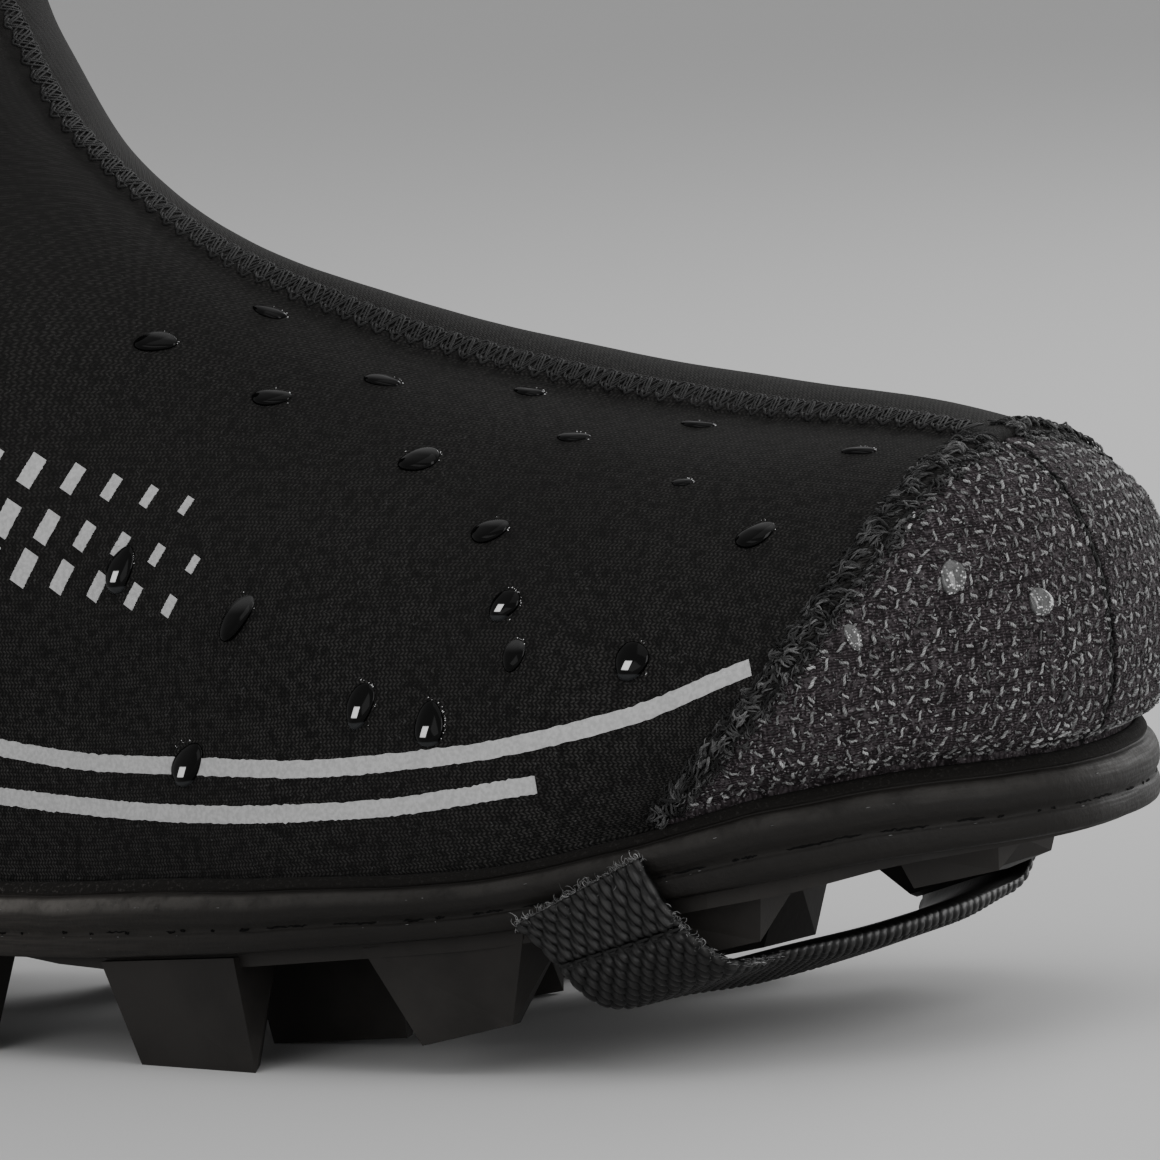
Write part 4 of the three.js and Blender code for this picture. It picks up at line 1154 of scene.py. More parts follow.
CHARTS = {LATERAL: cap_chart(LATERAL), MEDIAL: cap_chart(MEDIAL)}


def chart_map(points):
    """Map of the cap's cloth: length round the toe, and height of the row above the rand."""
    turn, rise = chart_angles(points)
    own_side = np.where(points[..., 1] >= OFFSET[1], MEDIAL, LATERAL)
    result = np.empty(points.shape[:-1] + (2,))
    result[..., 0] = turn * CHART_RADIUS * own_side
    for side, chart in CHARTS.items():
        low = np.interp(turn, CHART_TURNS, chart["low"])
        height = chart_read(chart["height"], turn, np.clip((rise - low) / (CHART_TOP - low), 0, 1))
        result[..., 1] = np.where(own_side == side, height, result[..., 1])
    return result


def cap_skin(u, side, share):
    """Outside of the cap: a narrow groove along its middle seam, and soft unevenness that fades at its
    edges."""
    points = upper_point(u, side, share)
    y = (points[..., 1] - OFFSET[1]) / GROOVE_WIDTH
    groove = bell(y, 1) * GROOVE_DEPTH - GROOVE_SHOULDER * bell(np.abs(y) - 3, math.sqrt(3))
    groove *= smoothstep(u, 0.05, 0.5)
    calm = smoothstep(share, 1.0, 0.9) * smoothstep(u, 0.0, 0.6) * smoothstep(u, CAP_ROW, CAP_ROW - 0.6)
    soft = CAP_SOFTNESS * waves(points[..., 1] * 1.2, points[..., 2], 8, shortest=8 * MM, longest=30 * MM)
    return groove - soft * calm


def build_cap():
    """The cap's cloth over the toe, with sections closest at its tip."""
    u_rows = CAP_END * np.linspace(0, 1, CAP_ROWS) ** CAP_CROWDING
    build_shell("toe_cap_cloth", "toe_cap", CAP_CLOTH, u_rows, CAP_STEPS, cap_skin,
                CAP_THICKNESS, chart_map)


build_cap()

FLECK_ROW = 2.25 * MM
FLECK_PITCH = 2.25 * MM
FLECK_HEIGHTS = np.arange(1.1 * MM, 75 * MM, FLECK_ROW)
FLECK_STARTS = {LATERAL: 1.2 * MM, MEDIAL: 1.05 * MM}
FLECK_JITTER = 0.15 * MM
# For even and odd places
FLECK_SLANTS = np.radians([-44, 56])
FLECK_LENGTHS = np.array([1.45, 1.9]) * MM
FLECK_BENDS = (0.1 * MM, 0.24 * MM)
FLECK_RADIUS = 0.225 * MM
FLECK_POINTS = 8
FLECK_MISSING = 0.05
MIDDLE_FREE = 0.95 * MM
SHORT_PER_FLECK = 3.2
SHORT_SPREAD = 1.15 * MM
SHORT_LENGTHS = (0.3 * MM, 0.95 * MM)
SHORT_BENDS = (0.0, 0.08 * MM)
SHORT_RADIUS = 0.12 * MM
SHORT_MIDDLE_FREE = 0.6 * MM
STROKE_LIFT = 0.16 * MM
STROKE_SINK = 0.02 * MM


def fleck_places():
    """Points of a square net on the cap: rows at even heights above the rand, and even steps along each
    row from the middle seam. Returns section, side, share and whether the place is an odd one."""
    places = []
    even = np.linspace(0, 1, CHART_STEPS)
    for side, chart in CHARTS.items():
        for number, height in enumerate(FLECK_HEIGHTS):
            step = np.array([np.interp(height, column, even, right=np.nan) for column in chart["height"]])
            valid = ~np.isnan(step)
            if valid.sum() < 3:
                continue
            turn, step = CHART_TURNS[valid], step[valid]
            u, t = chart_read(chart["u"], turn, step), chart_read(chart["t"], turn, step)
            path = upper_point(u, side, spread(u, t))
            spots = np.arange(FLECK_STARTS[side], path_length(path), FLECK_PITCH)
            own_u, own_t = resample(path, u, spots), resample(path, t, spots)
            odd = (np.arange(len(spots)) + number + (side == MEDIAL)) % 2
            places.append(np.stack([own_u, np.full(len(spots), side), spread(own_u, own_t), odd], -1))
    places = np.concatenate(places)
    return places[(places[:, 0] < CAP_ROW - 0.12) & (places[:, 0] > 0.03)].T


def strokes(centre, level, upright, normal, slant, length, bend, count=FLECK_POINTS):
    """S-shaped strokes: straight lines at a slant to the level, with a sine to each side, sunk at the
    ends."""
    direction = level * np.cos(slant)[:, None] + upright * np.sin(slant)[:, None]
    cross = np.cross(normal, direction)
    q = np.linspace(-1, 1, count)[None, :, None]
    paths = (centre[:, None] + direction[:, None] * q * length[:, None, None] / 2
             + cross[:, None] * np.sin(q * np.pi) * bend[:, None, None]
             + normal[:, None] * (STROKE_LIFT * (1 - q ** 4) - STROKE_SINK))
    return paths, np.repeat(normal[:, None], count, axis=1)


def build_flecks():
    """Thick pale S-shaped stitches over the cap that slant one way and the other in turn, and thinner
    short ones strewn between them."""
    u, side, share, odd = fleck_places()
    odd = odd.astype(int)
    centre, _, _, normal = surface_frame(u, side, share, cap_skin(u, side, share))
    level = unit(np.stack([-normal[:, 1], normal[:, 0], np.zeros(len(u))], -1))
    level *= np.where(level[:, :1] * 0.82 + level[:, 1:2] * 0.57 > 0, 1, -1)
    upright = np.cross(level, normal)
    upright *= np.where(upright[:, 2:3] > 0, 1, -1)
    count = len(u)
    shift = [rng.normal(0, FLECK_JITTER, (count, 1)) for _ in range(2)]
    moved = centre + level * shift[0] + upright * shift[1]
    beside = np.abs(moved[:, 1] - OFFSET[1]) > MIDDLE_FREE
    keep = beside & (rng.uniform(0, 1, count) > FLECK_MISSING)
    slant = FLECK_SLANTS[odd] + rng.normal(0, 0.26, count)
    length = FLECK_LENGTHS[odd] * rng.uniform(0.72, 1.12, count)
    bend = rng.uniform(*FLECK_BENDS, count)
    cloud = waves(centre[:, 0] + centre[:, 1], centre[:, 2], 21, shortest=4 * MM, longest=14 * MM)
    grade = grades(4.2 + 3.0 * cloud + rng.normal(0, 1.3, count), 1)
    pick = lambda *arrays: [a[keep] for a in arrays]
    paths, normals = strokes(*pick(moved, level, upright, normal, slant, length, bend))
    taper = 1 - 0.45 * np.abs(np.linspace(-1, 1, FLECK_POINTS))[None, :] ** 2
    thick = FLECK_RADIUS * rng.uniform(0.75, 1.2, (keep.sum(), 1)) * taper
    thick = thick * rng.uniform(0.85, 1.15, thick.shape)
    thread_piece("cap_flecks", paths, normals, thick, FLECK_THREAD, sides=6, grade=grade[keep])

    again = rng.integers(0, count, int(SHORT_PER_FLECK * count))
    spread_out = rng.uniform(-SHORT_SPREAD, SHORT_SPREAD, (2, len(again), 1))
    moved = centre[again] + level[again] * spread_out[0] + upright[again] * spread_out[1]
    keep = np.abs(moved[:, 1] - OFFSET[1]) > SHORT_MIDDLE_FREE
    slant = rng.uniform(-1.3, 1.3, len(again))
    length = rng.uniform(*SHORT_LENGTHS, len(again))
    bend = rng.uniform(*SHORT_BENDS, len(again))
    grade = grades(rng.normal(2.6, 1.9, len(again)), 0, 6)
    own = [level[again], upright[again], normal[again]]
    paths, normals = strokes(*pick(moved, *own, slant, length, bend), count=5)
    thick = SHORT_RADIUS * rng.uniform(0.6, 1.3, (keep.sum(), 1))
    thread_piece("cap_short_flecks", paths, normals, thick, FLECK_THREAD, sides=5,
                 grade=grade[keep])


build_flecks()

# Seams

SEAM_PITCH = 3.1 * MM
SEAM_POINTS = 14
SEAM_STEEP = 0.42
SEAM_JITTER = 0.13 * MM
SEAM_SWAY = 0.1 * MM
RIDGE_SAMPLES = 900
RIDGE_MARGIN = 0.004
# Threads of the centre seam. Columns: start as a share of the pitch, half width, radius, height over the
# pad, and grade of brightness
SEAM_STRANDS = [
    (0.00, 2.2 * MM, 0.17 * MM, 0.24 * MM, 2), (0.16, 2.1 * MM, 0.16 * MM, 0.27 * MM, 1),
    (0.33, 2.2 * MM, 0.15 * MM, 0.20 * MM, 0), (0.62, 2.0 * MM, 0.15 * MM, 0.20 * MM, 1),
]
# Hooks along its edges. Columns: shift along the seam, distance from its middle in millimetres, radius
SEAM_HOOKS = [(0.0, 2.35, 0.21 * MM), (0.75 * MM, 2.15, 0.16 * MM)]
HOOK_STAGGER = 0.42
HOOK_HEIGHT = 0.22 * MM
# Threads of the back seam. Columns: start, half width, radius and height as above
BACK_STRANDS = [
    (0.00, 2.1 * MM, 0.20 * MM, 0.40 * MM), (0.16, 2.2 * MM, 0.18 * MM, 0.44 * MM),
    (0.33, 2.1 * MM, 0.18 * MM, 0.36 * MM),
]
BACK_POINTS = 12
BACK_SAMPLES = 400
BACK_CURVE_RADIUS = 38 * MM


def ridge_line(u_low, u_high):
    """Sections and points along the ridge of the upper."""
    u = np.linspace(u_low, u_high, RIDGE_SAMPLES)
    return u, upper_point(u, MEDIAL, 0.0)


def seam_swing(local):
    """Place across the strip of a thread that crosses steeply and comes back at a slant, from -1 to 1."""
    swing = np.where(local < SEAM_STEEP, 1 - 2 * local / SEAM_STEEP,
                     -1 + 2 * (local - SEAM_STEEP) / (1 - SEAM_STEEP))
    return np.sin(swing * np.pi / 2) * 0.5 + swing * 0.5


def single_thread(path, normal, radius, height=None, sides=6, grade=USUAL_GRADE):
    """One tube along one path."""
    return threads(path[None], normal[None], radius, height, sides, np.array([grade]))


def seam_threads(u_low, u_high):
    """Overlock threads over the centre seam, rounded over the pad and bitten in at both edges."""
    u_line, line = ridge_line(u_low, u_high)
    total = path_length(line)
    count = int(total / SEAM_PITCH)
    parts = []
    for offset, wide, radius, lift, grade in SEAM_STRANDS:
        phase = np.linspace(0, count, count * SEAM_POINTS)
        swing = seam_swing(phase % 1)
        own = np.random.default_rng(int(offset * 100) + 3)
        jitter = np.interp(phase, np.arange(count + 1), own.normal(0, SEAM_JITTER, count + 1))
        along = (phase + offset) * SEAM_PITCH + jitter
        across = swing * wide + np.interp(phase, np.arange(count + 1), own.normal(0, SEAM_SWAY, count + 1))
        u = resample(line, u_line, np.clip(along, 0, total))
        share = share_at_width(u, across)
        side = np.where(across < 0, LATERAL, MEDIAL)
        height = lift * (1 - 0.8 * np.abs(swing) ** 4) + PAD_HEIGHT * pad_share(across)
        path = upper_point(u, side, share, -height)
        _, _, _, normal = surface_frame(u, side, np.maximum(share, RIDGE_MARGIN))
        parts.append(single_thread(path, normal, radius, radius * 0.9, grade=grade))
    return parts


def seam_hooks(u_low, u_high):
    """Thicker turns of thread at both edges of the seam: a short hook at each stitch that stands out of the
    edge and curls forward."""
    u_line, line = ridge_line(u_low, u_high)
    total = path_length(line)
    starts = np.arange(0.4 * MM, total - 2 * MM, SEAM_PITCH)
    count = len(starts)
    q = np.linspace(0, 1, 9)[None, :]
    curl = 0.28 * np.sin(q * np.pi) - 1.15 * np.abs(2 * q - 0.9) ** 2.2
    parts = []
    for edge in (LATERAL, MEDIAL):
        for shift, wide, radius in SEAM_HOOKS:
            stagger = 0 if edge < 0 else HOOK_STAGGER * SEAM_PITCH
            spots = starts + shift + stagger + rng.normal(0, 0.12, count) * MM
            along = np.clip(spots[:, None] + (1.9 * q - 0.2) * MM, 0, total)
            across = edge * (wide + curl) * MM + rng.normal(0, 0.08, (count, 1)) * MM
            u = resample(line, u_line, along.ravel()).reshape(along.shape)
            share = share_at_width(u, across)
            lift = PAD_HEIGHT * pad_share(across) + HOOK_HEIGHT * np.sin(q * np.pi) + STROKE_SINK
            path = upper_point(u, edge, share, -lift)
            _, _, _, normal = surface_frame(u, edge, np.maximum(share, RIDGE_MARGIN))
            grade = grades(rng.normal(2.7, 2.0, count))
            parts.append(threads(path, normal, radius * rng.uniform(0.8, 1.15, (count, 1)), grade=grade))
    return parts


def build_centre_seam():
    """The overlock over the ridge from the cap's border to the collar: threads, and hooks at both edges."""
    parts = seam_threads(SEAM_ROW - 0.3, COLLAR_ROW - 0.05)
    joined_piece("centre_seam", parts, BLACK_THREAD)
    parts = seam_hooks(SEAM_ROW - 0.2, COLLAR_ROW - 0.05)
    joined_piece("centre_seam_hooks", parts, BLACK_THREAD)


build_centre_seam()


def build_back_seam():
    """The same overlock down the middle of the back, from the collar to the rand."""
    u_line = np.linspace(HEEL_ROW + 0.05, COLLAR_ROW - 0.05, BACK_SAMPLES)
    line = upper_point(u_line, MEDIAL, 1.0)
    total = path_length(line)
    count = int(total / SEAM_PITCH)
    parts = []
    for offset, wide, radius, lift in BACK_STRANDS:
        phase = np.linspace(0, count, count * BACK_POINTS)
        swing = seam_swing(phase % 1)
        place = resample(line, line, np.clip((phase + offset) * SEAM_PITCH, 0, total))
        across = swing * wide
        height = lift * (1 - 0.75 * np.abs(swing) ** 3) + 0.1 * MM
        forward = across ** 2 / (2 * BACK_CURVE_RADIUS)
        path = place + np.stack([forward - height, across, np.zeros_like(across)], -1)
        normal = np.broadcast_to(np.array([-1.0, 0, 0]), path.shape)
        parts.append(single_thread(path, normal, radius, radius * 0.85))
    joined_piece("back_seam", parts, BLACK_THREAD)


build_back_seam()

CORD_RADIUS = 0.42 * MM
CORD_DEPTH = 0.42 * MM
CORD_POINTS = 420
CORD_TWIST = 1.9 * MM
WORN_PITCH = 0.42 * MM
WORN_RADIUS = 0.13 * MM


def build_cap_middle_stitches():
    """The black cord in the groove of the toe cap, and short worn ends of thread over both of its edges."""
    u = np.linspace(0.04, CAP_ROW - 0.15, 700)
    line = upper_point(u, MEDIAL, 0.0)
    length = path_length(line)
    places = np.linspace(0.4 * MM, length, CORD_POINTS)
    own_u = resample(line, u, places)
    cord = upper_point(own_u, MEDIAL, 0.0, CORD_DEPTH)
    sway = np.interp(places, np.linspace(0, length, 60), rng.normal(0, 0.1, 60)) * MM
    cord[:, 1] += sway + 0.1 * MM * np.sin(places / CORD_TWIST * TURN)
    _, _, _, normal = surface_frame(own_u, MEDIAL, 0.002)
    thick = CORD_RADIUS * (1 + 0.3 * np.interp(places, np.linspace(0, length, 90), rng.uniform(-1, 1, 90)))
    parts = [single_thread(cord, normal, thick[None], sides=8, grade=0)]
    count = int(length / WORN_PITCH)
    spots = rng.uniform(0.8 * MM, length - 1 * MM, count)
    own_u = resample(line, u, spots)
    y = rng.choice([-1, 1], count) * rng.uniform(0.35, 1.15, count) * MM
    side, share = np.sign(y), share_at_width(own_u, y)
    centre, _, _, normal = surface_frame(own_u, side, share, cap_skin(own_u, side, share) * 0.5)
    level = np.stack([np.zeros(count), np.ones(count), np.zeros(count)], -1)
    upright = np.cross(level, normal)
    slant = rng.uniform(-0.9, 0.9, count) * rng.uniform(0.4, 1.5, count)
    paths, normals = strokes(centre, level, upright, normal, slant, rng.uniform(0.7, 1.7, count) * MM,
                             rng.uniform(0.05, 0.2, count) * MM, 6)
    thick = WORN_RADIUS * rng.uniform(0.6, 1.5, (count, 1))
    parts.append(threads(paths, normals, thick, sides=5, grade=grades(rng.gamma(1.1, 1.2, count))))
    joined_piece("cap_middle_stitches", parts, BLACK_THREAD)


build_cap_middle_stitches()

# Rows of tufts on the border. Columns: section, pitch along the border in millimetres, strands to a
# tuft, reach of the strands, lift and mean grade of brightness
TUFT_ROWS = [
    (4.74, 1.6, 4, 1.6, 0.25, 1.4),
    (4.95, 1.8, 5, 2.3, 0.5, 2.3),
    (5.22, 2.0, 6, 2.7, 0.8, 2.8),
    (5.5, 2.0, 6, 2.6, 0.7, 2.1),
    (5.72, 2.0, 5, 2.2, 0.35, 1.1),
]
TUFT_SHARES = (0.003, 0.99)
TUFT_POINTS = 8
TUFT_RADIUS = 0.14 * MM
TUFT_SWAY = 0.19 * MM
TUFT_SINK = 0.05 * MM
BORDER_SHARES = np.linspace(0.0, 0.999, 400)
EDGE_SHARES = (0.003, 0.996)
EDGE_CORD_WAVE = 2.3 * MM
EDGE_CORD_POINTS = 260
BITE_PITCH = 1.35 * MM
BITE_BEND = 0.12 * MM


def border_line(u, side):
    """The border at a section, from the ridge to the rand: its shares and points."""
    share = spread(np.array([u]), BORDER_SHARES)
    return share, upper_point(u, side, share)


def build_fringe():
    """Tufts of the border's overlock: bundles of worn threads that cross the raised border at a slant, bent
    up in the middle and tucked in at both ends. The outer rows overhang the knit as teeth."""
    bundles = []
    for side in (LATERAL, MEDIAL):
        for section, pitch, number, reach, lift, mean_grade in TUFT_ROWS:
            share, line = border_line(section, side)
            total = path_length(line)
            places = np.arange(0.3 * MM, total - 0.3 * MM, pitch * MM)
            places = np.clip(places + rng.normal(0, 0.25, len(places)) * MM, 0.1 * MM, total - 0.1 * MM)
            tufts = len(places)
            own_share = resample(line, share, places)
            u = section + rng.normal(0, 0.045, tufts)
            centre, across, down, normal = surface_frame(u, side, np.clip(own_share, *TUFT_SHARES))
            relief = np.maximum(upper_relief(u, side, own_share), 0.15 * MM)
            centre = centre + normal * relief[:, None]
            lean = rng.normal(-0.7, 0.55, tufts)
            bright = rng.normal(mean_grade - 0.3, 1.2, tufts)
            tall = np.clip(rng.normal(1.0, 0.35, tufts), 0.3, 1.8)
            repeat = lambda v: np.repeat(v, number, axis=0)
            each = lambda v: v[:, None, None]
            strands = tufts * number
            angle = repeat(lean) + rng.normal(0, 0.24, strands)
            way = repeat(across) * np.cos(angle)[:, None] + repeat(down) * np.sin(angle)[:, None]
            cross = np.cross(repeat(normal), way)
            length = reach * rng.uniform(0.6, 1.15, strands) * MM
            aside = rng.uniform(-0.62, 0.62, strands) * MM
            ahead = rng.normal(0, 0.28, strands) * MM
            q = np.linspace(0, 1, TUFT_POINTS)[None, :, None]
            arch = np.sin(q * np.pi) ** 0.8 * each(repeat(tall) * lift * rng.uniform(0.35, 1.1, strands)) * MM
            bends, start = each(rng.uniform(1.0, 3.0, strands)), each(rng.uniform(0, 6, strands))
            sway = np.sin(q * np.pi * bends + start) * TUFT_SWAY
            paths = (repeat(centre)[:, None] + way[:, None] * ((q - 0.5) * each(length) + each(ahead))
                     + cross[:, None] * (each(aside) + sway) + repeat(normal)[:, None] * (arch - TUFT_SINK))
            normals = np.repeat(repeat(normal)[:, None], TUFT_POINTS, axis=1)
            grade = grades(repeat(bright) + rng.normal(0, 1.5, strands))
            radius = TUFT_RADIUS * rng.uniform(0.5, 1.4, (strands, 1))
            radius = radius * rng.uniform(0.6, 1.35, (strands, TUFT_POINTS))
            bundles.append(threads(paths, normals, radius, sides=5, grade=grade))
    joined_piece("cap_fringe", bundles, GREY_THREAD)


build_fringe()


def build_cap_edge():
    """A dark cord of thread sunk along the cap side of the border, with small bites over the cap's edge."""
    parts = []
    for side in (LATERAL, MEDIAL):
        share, line = border_line(CAP_ROW - 0.05, side)
        total = path_length(line)
        places = np.linspace(0.1 * MM, total - 0.1 * MM, EDGE_CORD_POINTS)
        own = np.clip(resample(line, share, places), *EDGE_SHARES)
        u = CAP_ROW - 0.03 + 0.02 * np.sin(places / EDGE_CORD_WAVE * TURN)
        here, _, _, normal = surface_frame(u, side, own)
        parts.append(single_thread(here + normal * 0.12 * MM, normal, 0.3 * MM, 0.26 * MM, sides=7, grade=1))
        starts = np.arange(0.8 * MM, total - 1 * MM, BITE_PITCH)
        count = len(starts)
        starts = starts + rng.normal(0, 0.25, count) * MM
        own = np.clip(resample(line, share, np.clip(starts, 0, total)), *EDGE_SHARES)
        places = surface_frame(CAP_ROW - 0.1, side, own)
        slant = rng.normal(0.1, 0.35, count)
        length = rng.uniform(1.1, 2.1, count) * MM
        paths, normals = strokes(*places, slant, length, np.full(count, BITE_BEND), 6)
        grade = grades(rng.normal(1.2, 1.6, count), 0, 6)
        parts.append(threads(paths, normals, WORN_RADIUS, sides=5, grade=grade))
    joined_piece("cap_edge_cord", parts, BLACK_THREAD)


build_cap_edge()

# Collar

HEM_OUT = 0.45 * MM
HEM_IN = 0.3 * MM
HEM_SECTIONS = 0.52
HEM_SIDES = 20
HEM_SQUARENESS = 0.5
HEM_STITCH_PITCH = 3.3 * MM
HEM_STITCH_LENGTH = 2.4 * MM
HEM_STITCH_LEVEL = 0.72
HEM_STITCH_RADIUS = 0.22 * MM


def build_collar():
    """Folded hem: a rounded flat loop of neoprene round the top edge, and a row of stitches below it."""
    t = np.linspace(0, 1, 61)
    top = []
    for side in (LATERAL, MEDIAL):
        share = spread(np.array([COLLAR_ROW * 1.0]), t)
        outside, inside = [upper_point(COLLAR_ROW, side, share, skin) for skin in (-HEM_OUT, WALL + HEM_IN)]
        lower = upper_point(COLLAR_ROW - HEM_SECTIONS, side, share, -HEM_OUT)
        ordered = [outside, inside, lower - outside]
        top.append([v[::-1] if side == LATERAL else v[1:-1] for v in ordered])
    outer, inner, down = [np.concatenate([top[0][k], top[1][k]]) for k in range(3)]
    middle, half = (outer + inner) / 2, (outer - inner) / 2
    angle = np.linspace(0, TURN, HEM_SIDES, endpoint=False)
    c, s = np.cos(angle), np.sin(angle)
    wide = np.sign(c) * np.abs(c) ** HEM_SQUARENESS
    tall = 0.5 - 0.5 * np.sign(s) * np.abs(s) ** HEM_SQUARENESS
    points = (middle[:, None] + half[:, None] * wide[None, :, None]
              + down[:, None] * tall[None, :, None] + np.array([0, 0, 0.5 * MM]))
    faces = grid_faces(len(points), HEM_SIDES, closed=True, ring=True)
    uv = np.stack([points[..., 0] + 0.8 * np.abs(points[..., 1]), points[..., 2]], -1)
    make_piece("collar_hem", points, faces, NEOPRENE, uv=uv, weld=FINE_WELD)
    line = outer + down * HEM_STITCH_LEVEL
    loop = np.concatenate([line, line[:1]])
    starts = np.arange(0, path_length(loop) - 2 * MM, HEM_STITCH_PITCH)
    q = np.linspace(0, 1, 6)
    spots = starts[:, None] + q[None, :] * HEM_STITCH_LENGTH
    paths = resample(loop, loop, spots.ravel()).reshape(len(starts), 6, 3)
    normal = paths - loop.mean(axis=0)
    normal[..., 2] = 0
    normal = unit(normal)
    paths = paths + normal * (0.12 * MM + 0.22 * MM * np.sin(q * np.pi))[None, :, None]
    thread_piece("collar_stitches", paths, normal, HEM_STITCH_RADIUS, BLACK_THREAD)


build_collar()

# Rand


def rounded_profile():
    """The rand's profile with its corners cut off twice, so that they read as moulded edges."""
    profile = RAND_PROFILE
    for _ in range(2):
        after = np.roll(profile, -1, axis=0)
        profile = np.stack([profile * 0.75 + after * 0.25, profile * 0.25 + after * 0.75], 1).reshape(-1, 2)
    return profile


def rand_point(x, side, out, up):
    """A point of the rand: out is the share of its thickness, up the share of its height."""
    inset = RAND_THICKNESS * (1 - out)
    along = slide(x, inset)
    z = mix(rand_bottom(along), rand_top(along), up)
    return np.stack([along, side * outline_half(side, along, inset), z], -1) + OFFSET


RAND_STATIONS = 300
# The lip leans inwards by this share of the rand's thickness
LIP_LEAN = 0.25
SLIT_PITCH = 5.6 * MM
SLIT_SCATTER = 2.0 * MM
SLIT_LEVEL = 0.335
SLIT_OUT = 0.85
SLIT_POINTS = 11
SLIT_RADII = (0.08 * MM, 0.2 * MM)
CHIP_COUNT = 150
# Places of the chips on the rand's profile. Columns: up, out
CHIP_BANDS = np.array([[0.36, 0.84], [0.655, 1.04], [0.28, 0.97]])
CHIP_RADIUS = 0.05 * MM
rand_x = SHOE_LENGTH * (1 - np.cos(np.linspace(0, np.pi, RAND_STATIONS))) / 2
rand_loop_x = np.concatenate([rand_x, rand_x[-2:0:-1]])
rand_loop_side = np.concatenate([np.full(RAND_STATIONS, LATERAL), np.full(RAND_STATIONS - 2, MEDIAL)])
rand_middle = rand_point(rand_loop_x, rand_loop_side, 1.0, 0.5)
rand_lengths = travelled_along(rand_middle)


def build_rand():
    """The profile carried round the outline, with a slight hand-made unevenness of each line."""
    profile = rounded_profile()
    count = len(profile)
    lengths = rand_lengths[:, None]
    turn = lengths / rand_lengths[-1] * TURN
    sway = 0.35 * np.sin(turn * 19 + 1) + 0.3 * np.sin(turn * 31 + 2) + 0.35 * np.sin(turn * 53)
    out = profile[None, :, 0] + 0.035 * sway * np.sin(profile[None, :, 1] * 7)
    up = profile[None, :, 1] + 0.012 * sway * np.sin(profile[None, :, 1] * np.pi)
    out = np.maximum(out - LIP_LEAN * smoothstep(profile[None, :, 1], 0.82, 1.0), -LIP_LEAN)
    points = rand_point(rand_loop_x[:, None], rand_loop_side[:, None], out, up)
    quads = np.array(grid_faces(len(rand_loop_x), count, closed=True, ring=True))[:, [0, 3, 2, 1]]
    uv = np.stack([np.broadcast_to(lengths, up.shape), np.broadcast_to(profile[None, :, 1], up.shape)], -1)
    piece = make_piece("rand_band", points, quads.tolist(), RAND_RUBBER, uv=uv, weld=FINE_WELD)
    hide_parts("rand")


build_rand()


def rand_paths(spots, half, level, out, steps=7):
    """Short level paths on the rand round given lengths of its outline, and their outward normals."""
    q = np.linspace(-1, 1, steps)
    places = spots[:, None] + half[:, None] * q[None, :]
    where = np.interp(places.ravel(), rand_lengths, np.arange(len(rand_lengths)))
    low = np.clip(where.astype(int), 0, len(rand_lengths) - 2)
    k = (where - low)[:, None]
    levels = (level[:, None] * np.ones_like(places)).ravel()
    first = rand_point(rand_loop_x[low], rand_loop_side[low], out, levels)
    second = rand_point(rand_loop_x[low + 1], rand_loop_side[low + 1], out, levels)
    paths = (first * (1 - k) + second * k).reshape(len(spots), steps, 3)
    tangent = np.gradient(paths, axis=1)
    normal = np.stack([tangent[..., 1], -tangent[..., 0], np.zeros_like(tangent[..., 0])], -1)
    centre = np.array([OFFSET[0] + SHOE_LENGTH / 2, OFFSET[1], 0])
    return paths, unit(normal * np.sign(np.sum(normal * (paths - centre), -1, keepdims=True)))


def build_rand_marks():
    """Small slits, painted dark as the shade inside the holes where a needle went through the step of the
    rand, at uneven spaces, and pale chips.
    """
    spots = np.arange(4 * MM, rand_lengths[-1], SLIT_PITCH)
    number = len(spots)
    spots = spots + rng.uniform(-SLIT_SCATTER, SLIT_SCATTER, number)
    level = SLIT_LEVEL + rng.uniform(-0.010, 0.014, number)
    half = np.clip(rng.gamma(2.2, 0.6, number), 0.25, 3.2) * MM
    paths, normal = rand_paths(spots, half, level, SLIT_OUT, SLIT_POINTS)
    paths[..., 2] += rng.normal(0, 0.07, paths.shape[:2]) * MM
    taper = 1 - np.abs(np.linspace(-1, 1, SLIT_POINTS))[None, :] ** 3 * 0.8
    radius = rng.uniform(*SLIT_RADII, (number, SLIT_POINTS)) * taper
    # The slits are tubes painted near black for the shade inside the holes
    thread_piece("rand_stitch_holes", paths, normal, radius, HOLE_SHADE, height=radius, sides=8)
    spots = rng.uniform(0, rand_lengths[-1], CHIP_COUNT)
    band = rng.integers(0, len(CHIP_BANDS), CHIP_COUNT)
    level = CHIP_BANDS[band, 0] + rng.normal(0, 0.012, CHIP_COUNT)
    half = rng.uniform(0.08, 0.4, CHIP_COUNT) * MM
    paths, normal = rand_paths(spots, half, level, np.repeat(CHIP_BANDS[band, 1], 4), 4)
    thread_piece("rand_chips", paths, normal, CHIP_RADIUS, PALE_FIBRE, sides=5,
                 grade=rng.integers(0, 3, CHIP_COUNT))


build_rand_marks()

# Outsole and insole


BEVEL_SEGMENTS = 3
BEVEL_ANGLE = math.radians(28)
NODE_WELD = 1e-6


def finish_node(name, material, width):
    """Rounds the edges of a CAD node and gives it its finish; its own mesh stays as it is."""
    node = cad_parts[name]
    node.data.materials.clear()
    node.data.materials.append(material)
    weld = node.modifiers.new("weld", "WELD")
    weld.merge_threshold = NODE_WELD
    bevel = node.modifiers.new("rounded_edges", "BEVEL")
    bevel.width = width
    bevel.segments = BEVEL_SEGMENTS
    bevel.limit_method = "ANGLE"
    bevel.angle_limit = BEVEL_ANGLE
    bevel.harden_normals = True


